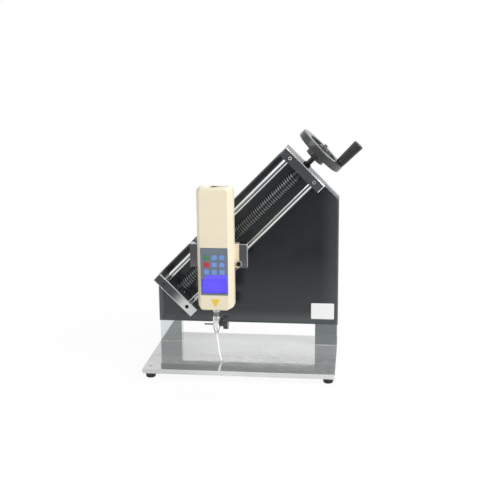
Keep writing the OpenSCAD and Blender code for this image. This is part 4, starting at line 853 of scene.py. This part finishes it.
for name, node, rings in (("gauge_front_moulding", "gauge_front_shell", front_rings),
                          ("gauge_rear_moulding", "gauge_rear_shell", rear_rings)):
    shell = skin(name, np.array(rings), round_rows=True, round_columns=True, crease=35)
    hole = shell.modifiers.new("socket hole", "BOOLEAN")
    hole.object = drill
    drilled = bpy.data.meshes.new_from_object(shell.evaluated_get(bpy.context.evaluated_depsgraph_get()))
    shell.modifiers.clear()
    shell.data = drilled
    shell.data.materials.clear()
    settle(shell, cream, "carriage", "cream_plastic", node)
bpy.data.objects.remove(drill)

# ---------- keypad panel ----------
# A plain blue-grey film on a stiff backing, glued into the front shell's recess.
panel_film = finish("blue-grey film", (112, 120, 132), (104, 112, 124), 0.0, 0.34, 1500, 3e-6)
dress(panel_film, "keypad_panel")

# ---------- keys ----------
# Nine pillow-shaped moulded keys, bare of symbols: a green one, a red one and seven blue ones.
key_r = 1.4 * mm
key_plastics = {}
for slot, colour in (("key_green", (74, 134, 96)), ("key_blue", (118, 152, 218)),
                     ("key_red", (190, 56, 66))):
    deeper = [int(c*0.86) for c in colour]
    key_plastics[slot] = finish(slot.replace("_", " ") + " plastic", colour, deeper, 0.0, 0.36, 2500, 4e-6)
for number in range(1, 10):
    node = f"key_{number}"
    low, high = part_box(node)
    w, h = high[0] - low[0], high[2] - low[2]
    rows = [(0, 0, 0, high[1]), (w, h, key_r, high[1])]
    rows += [(w - 2*x*mm, h - 2*x*mm, key_r - x/2*mm, low[1] + y*mm)
             for x, y in ((0.0, 0.55), (0.08, 0.3), (0.3, 0.1), (0.7, 0.02), (2.2, 0.0))]
    rows += [(0, 0, 0, low[1])]
    cap = slab(f"key_cap_{number}", rows, middle_of(node)[[0, 2]])
    slot = {1: "key_green", 4: "key_red"}.get(number, "key_blue")
    settle(cap, key_plastics[slot], f"key{number}_body", slot, node)

# ---------- display ----------
# A backlit blue liquid crystal display behind a clear window, with a lit strip above the window,
# in line with its right edge.
clear, _, shader = blank_material("clear window")
shader["Base Color"].default_value = (0.93, 0.95, 1.0, 1)
shader["Transmission Weight"].default_value = 1.0
shader["Roughness"].default_value = 0.02
shader["IOR"].default_value = 1.1
dress(clear, "display_window")
glow = finish("blue backlight", (76, 60, 236), (92, 78, 246), 0.0, 0.4, 300, 0)
shader = sockets(glow)
feed(glow.node_tree, shader["Emission Color"], shader["Base Color"].links[0].from_socket)
shader["Emission Strength"].default_value = 0.7
dress(glow, "display_module")
window_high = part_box("display_window")[1]
strip_w, strip_h, strip_r = 38.5*mm, 7.5*mm, 0.4*mm
strip_back, strip_front = panel_low[1] + 0.05*mm, panel_low[1] - 0.08*mm
lit_strip = slab("lit_strip", [
    (0, 0, 0, strip_back), (strip_w, strip_h, strip_r, strip_back),
    (strip_w, strip_h, strip_r, strip_front), (0, 0, 0, strip_front)],
    (window_high[0] - strip_w/2, window_high[2] + strip_h/2))
settle(lit_strip, glow, "carriage", "display_blue")

# ---------- inside the gauge ----------
# Green circuit board, four cells in green sleeve, and the black moulded data socket.
board_green = finish("green solder mask", (24, 92, 52), (18, 76, 42), 0.0, 0.3, 900, 3e-6)
dress(board_green, "circuit_board")
sleeve = finish("green shrink sleeve", (60, 130, 84), (50, 112, 70), 0.0, 0.28, 900, 2e-6)
dress(sleeve, "battery_pack")
dress(foot_rubber, "data_socket")

# ---------- plain marker ----------
# A plain yellow sticker with three rounded corners below the display, with nothing on it.
marker_w, marker_h, marker_r, marker_t, marker_crown = 16.6*mm, 16.0*mm, 1.4*mm, 0.12*mm, 0.02*mm
marker_middle = np.array([gauge_x + 1.2*mm, plate_top + 113.7*mm])
marker_corners = drawn_in(np.array([
    [-marker_w/2, marker_h/2], [0, -marker_h/2], [marker_w/2, marker_h/2]]), marker_r)
marker_turns = np.radians(np.linspace((90, 210, 330), (210, 330, 450), 9)).T
marker_ring = np.concatenate([corner + marker_r*np.stack([np.cos(a), np.sin(a)], 1)
                              for corner, a in zip(marker_corners, marker_turns)])
marker = skin("plain_yellow_marker", np.array([
    upright(marker_middle + share*marker_ring, gauge_face - rise) for share, rise in (
        (0, 0), (1, 0), (1, marker_t), (0.94, marker_t + marker_crown), (0, marker_t + marker_crown))]),
    round_columns=True)
yellow = finish("yellow vinyl", (232, 196, 64), (222, 184, 56), 0.0, 0.35, 900, 2e-6)
settle(marker, yellow, "carriage", "cream_plastic")

# ---------- grip ----------
# Turned and nickel-plated steel: a coupling with a shallow neck, then a slightly wider body that
# narrows downwards and is bored for the cord. A black knob clamps the cord, opposite a thin bar.
coupling_top = grip_high[2]
grip_section = np.array([
    (2.5, -46.5), (4.0, -46.5), (4.4, -46.0), (7.0, -34.2), (7.3, -33.2), (7.3, -15.2), (7.0, -14.4),
    (6.3, -14.0), (6.2, -13.6), (6.2, -11.2), (5.9, -10.9), (5.5, -10.4), (5.5, -5.6), (5.9, -5.1),
    (6.2, -4.8), (6.2, -1.0), (5.95, -0.35), (5.2, 0.0), (3.05, 0.0), (3.05, -14.0), (2.5, -23.0)])*mm
grip = skin("turned_grip", turned_upright(grip_section + [0, coupling_top], *cord_axis),
            round_rows=True, round_columns=True)
bright_nickel = finish("bright nickel", (238, 239, 239), (224, 225, 226), 0.7, 0.2, 1500, 1e-6)
tree = bright_nickel.node_tree
neck_middle, neck_half = coupling_top - 9.2*mm, 4.0*mm
# Painted shade: the shallow neck is painted darker.
neck_shade = near(tree, parts(tree, own_place(tree)["Object"])["Z"], neck_middle, neck_half)
lay_over(bright_nickel, neck_shade, (132, 132, 129))
settle(grip, bright_nickel, "carriage", "ground_rod", "grip_body")
dress(black_gloss, "clamp_knob")
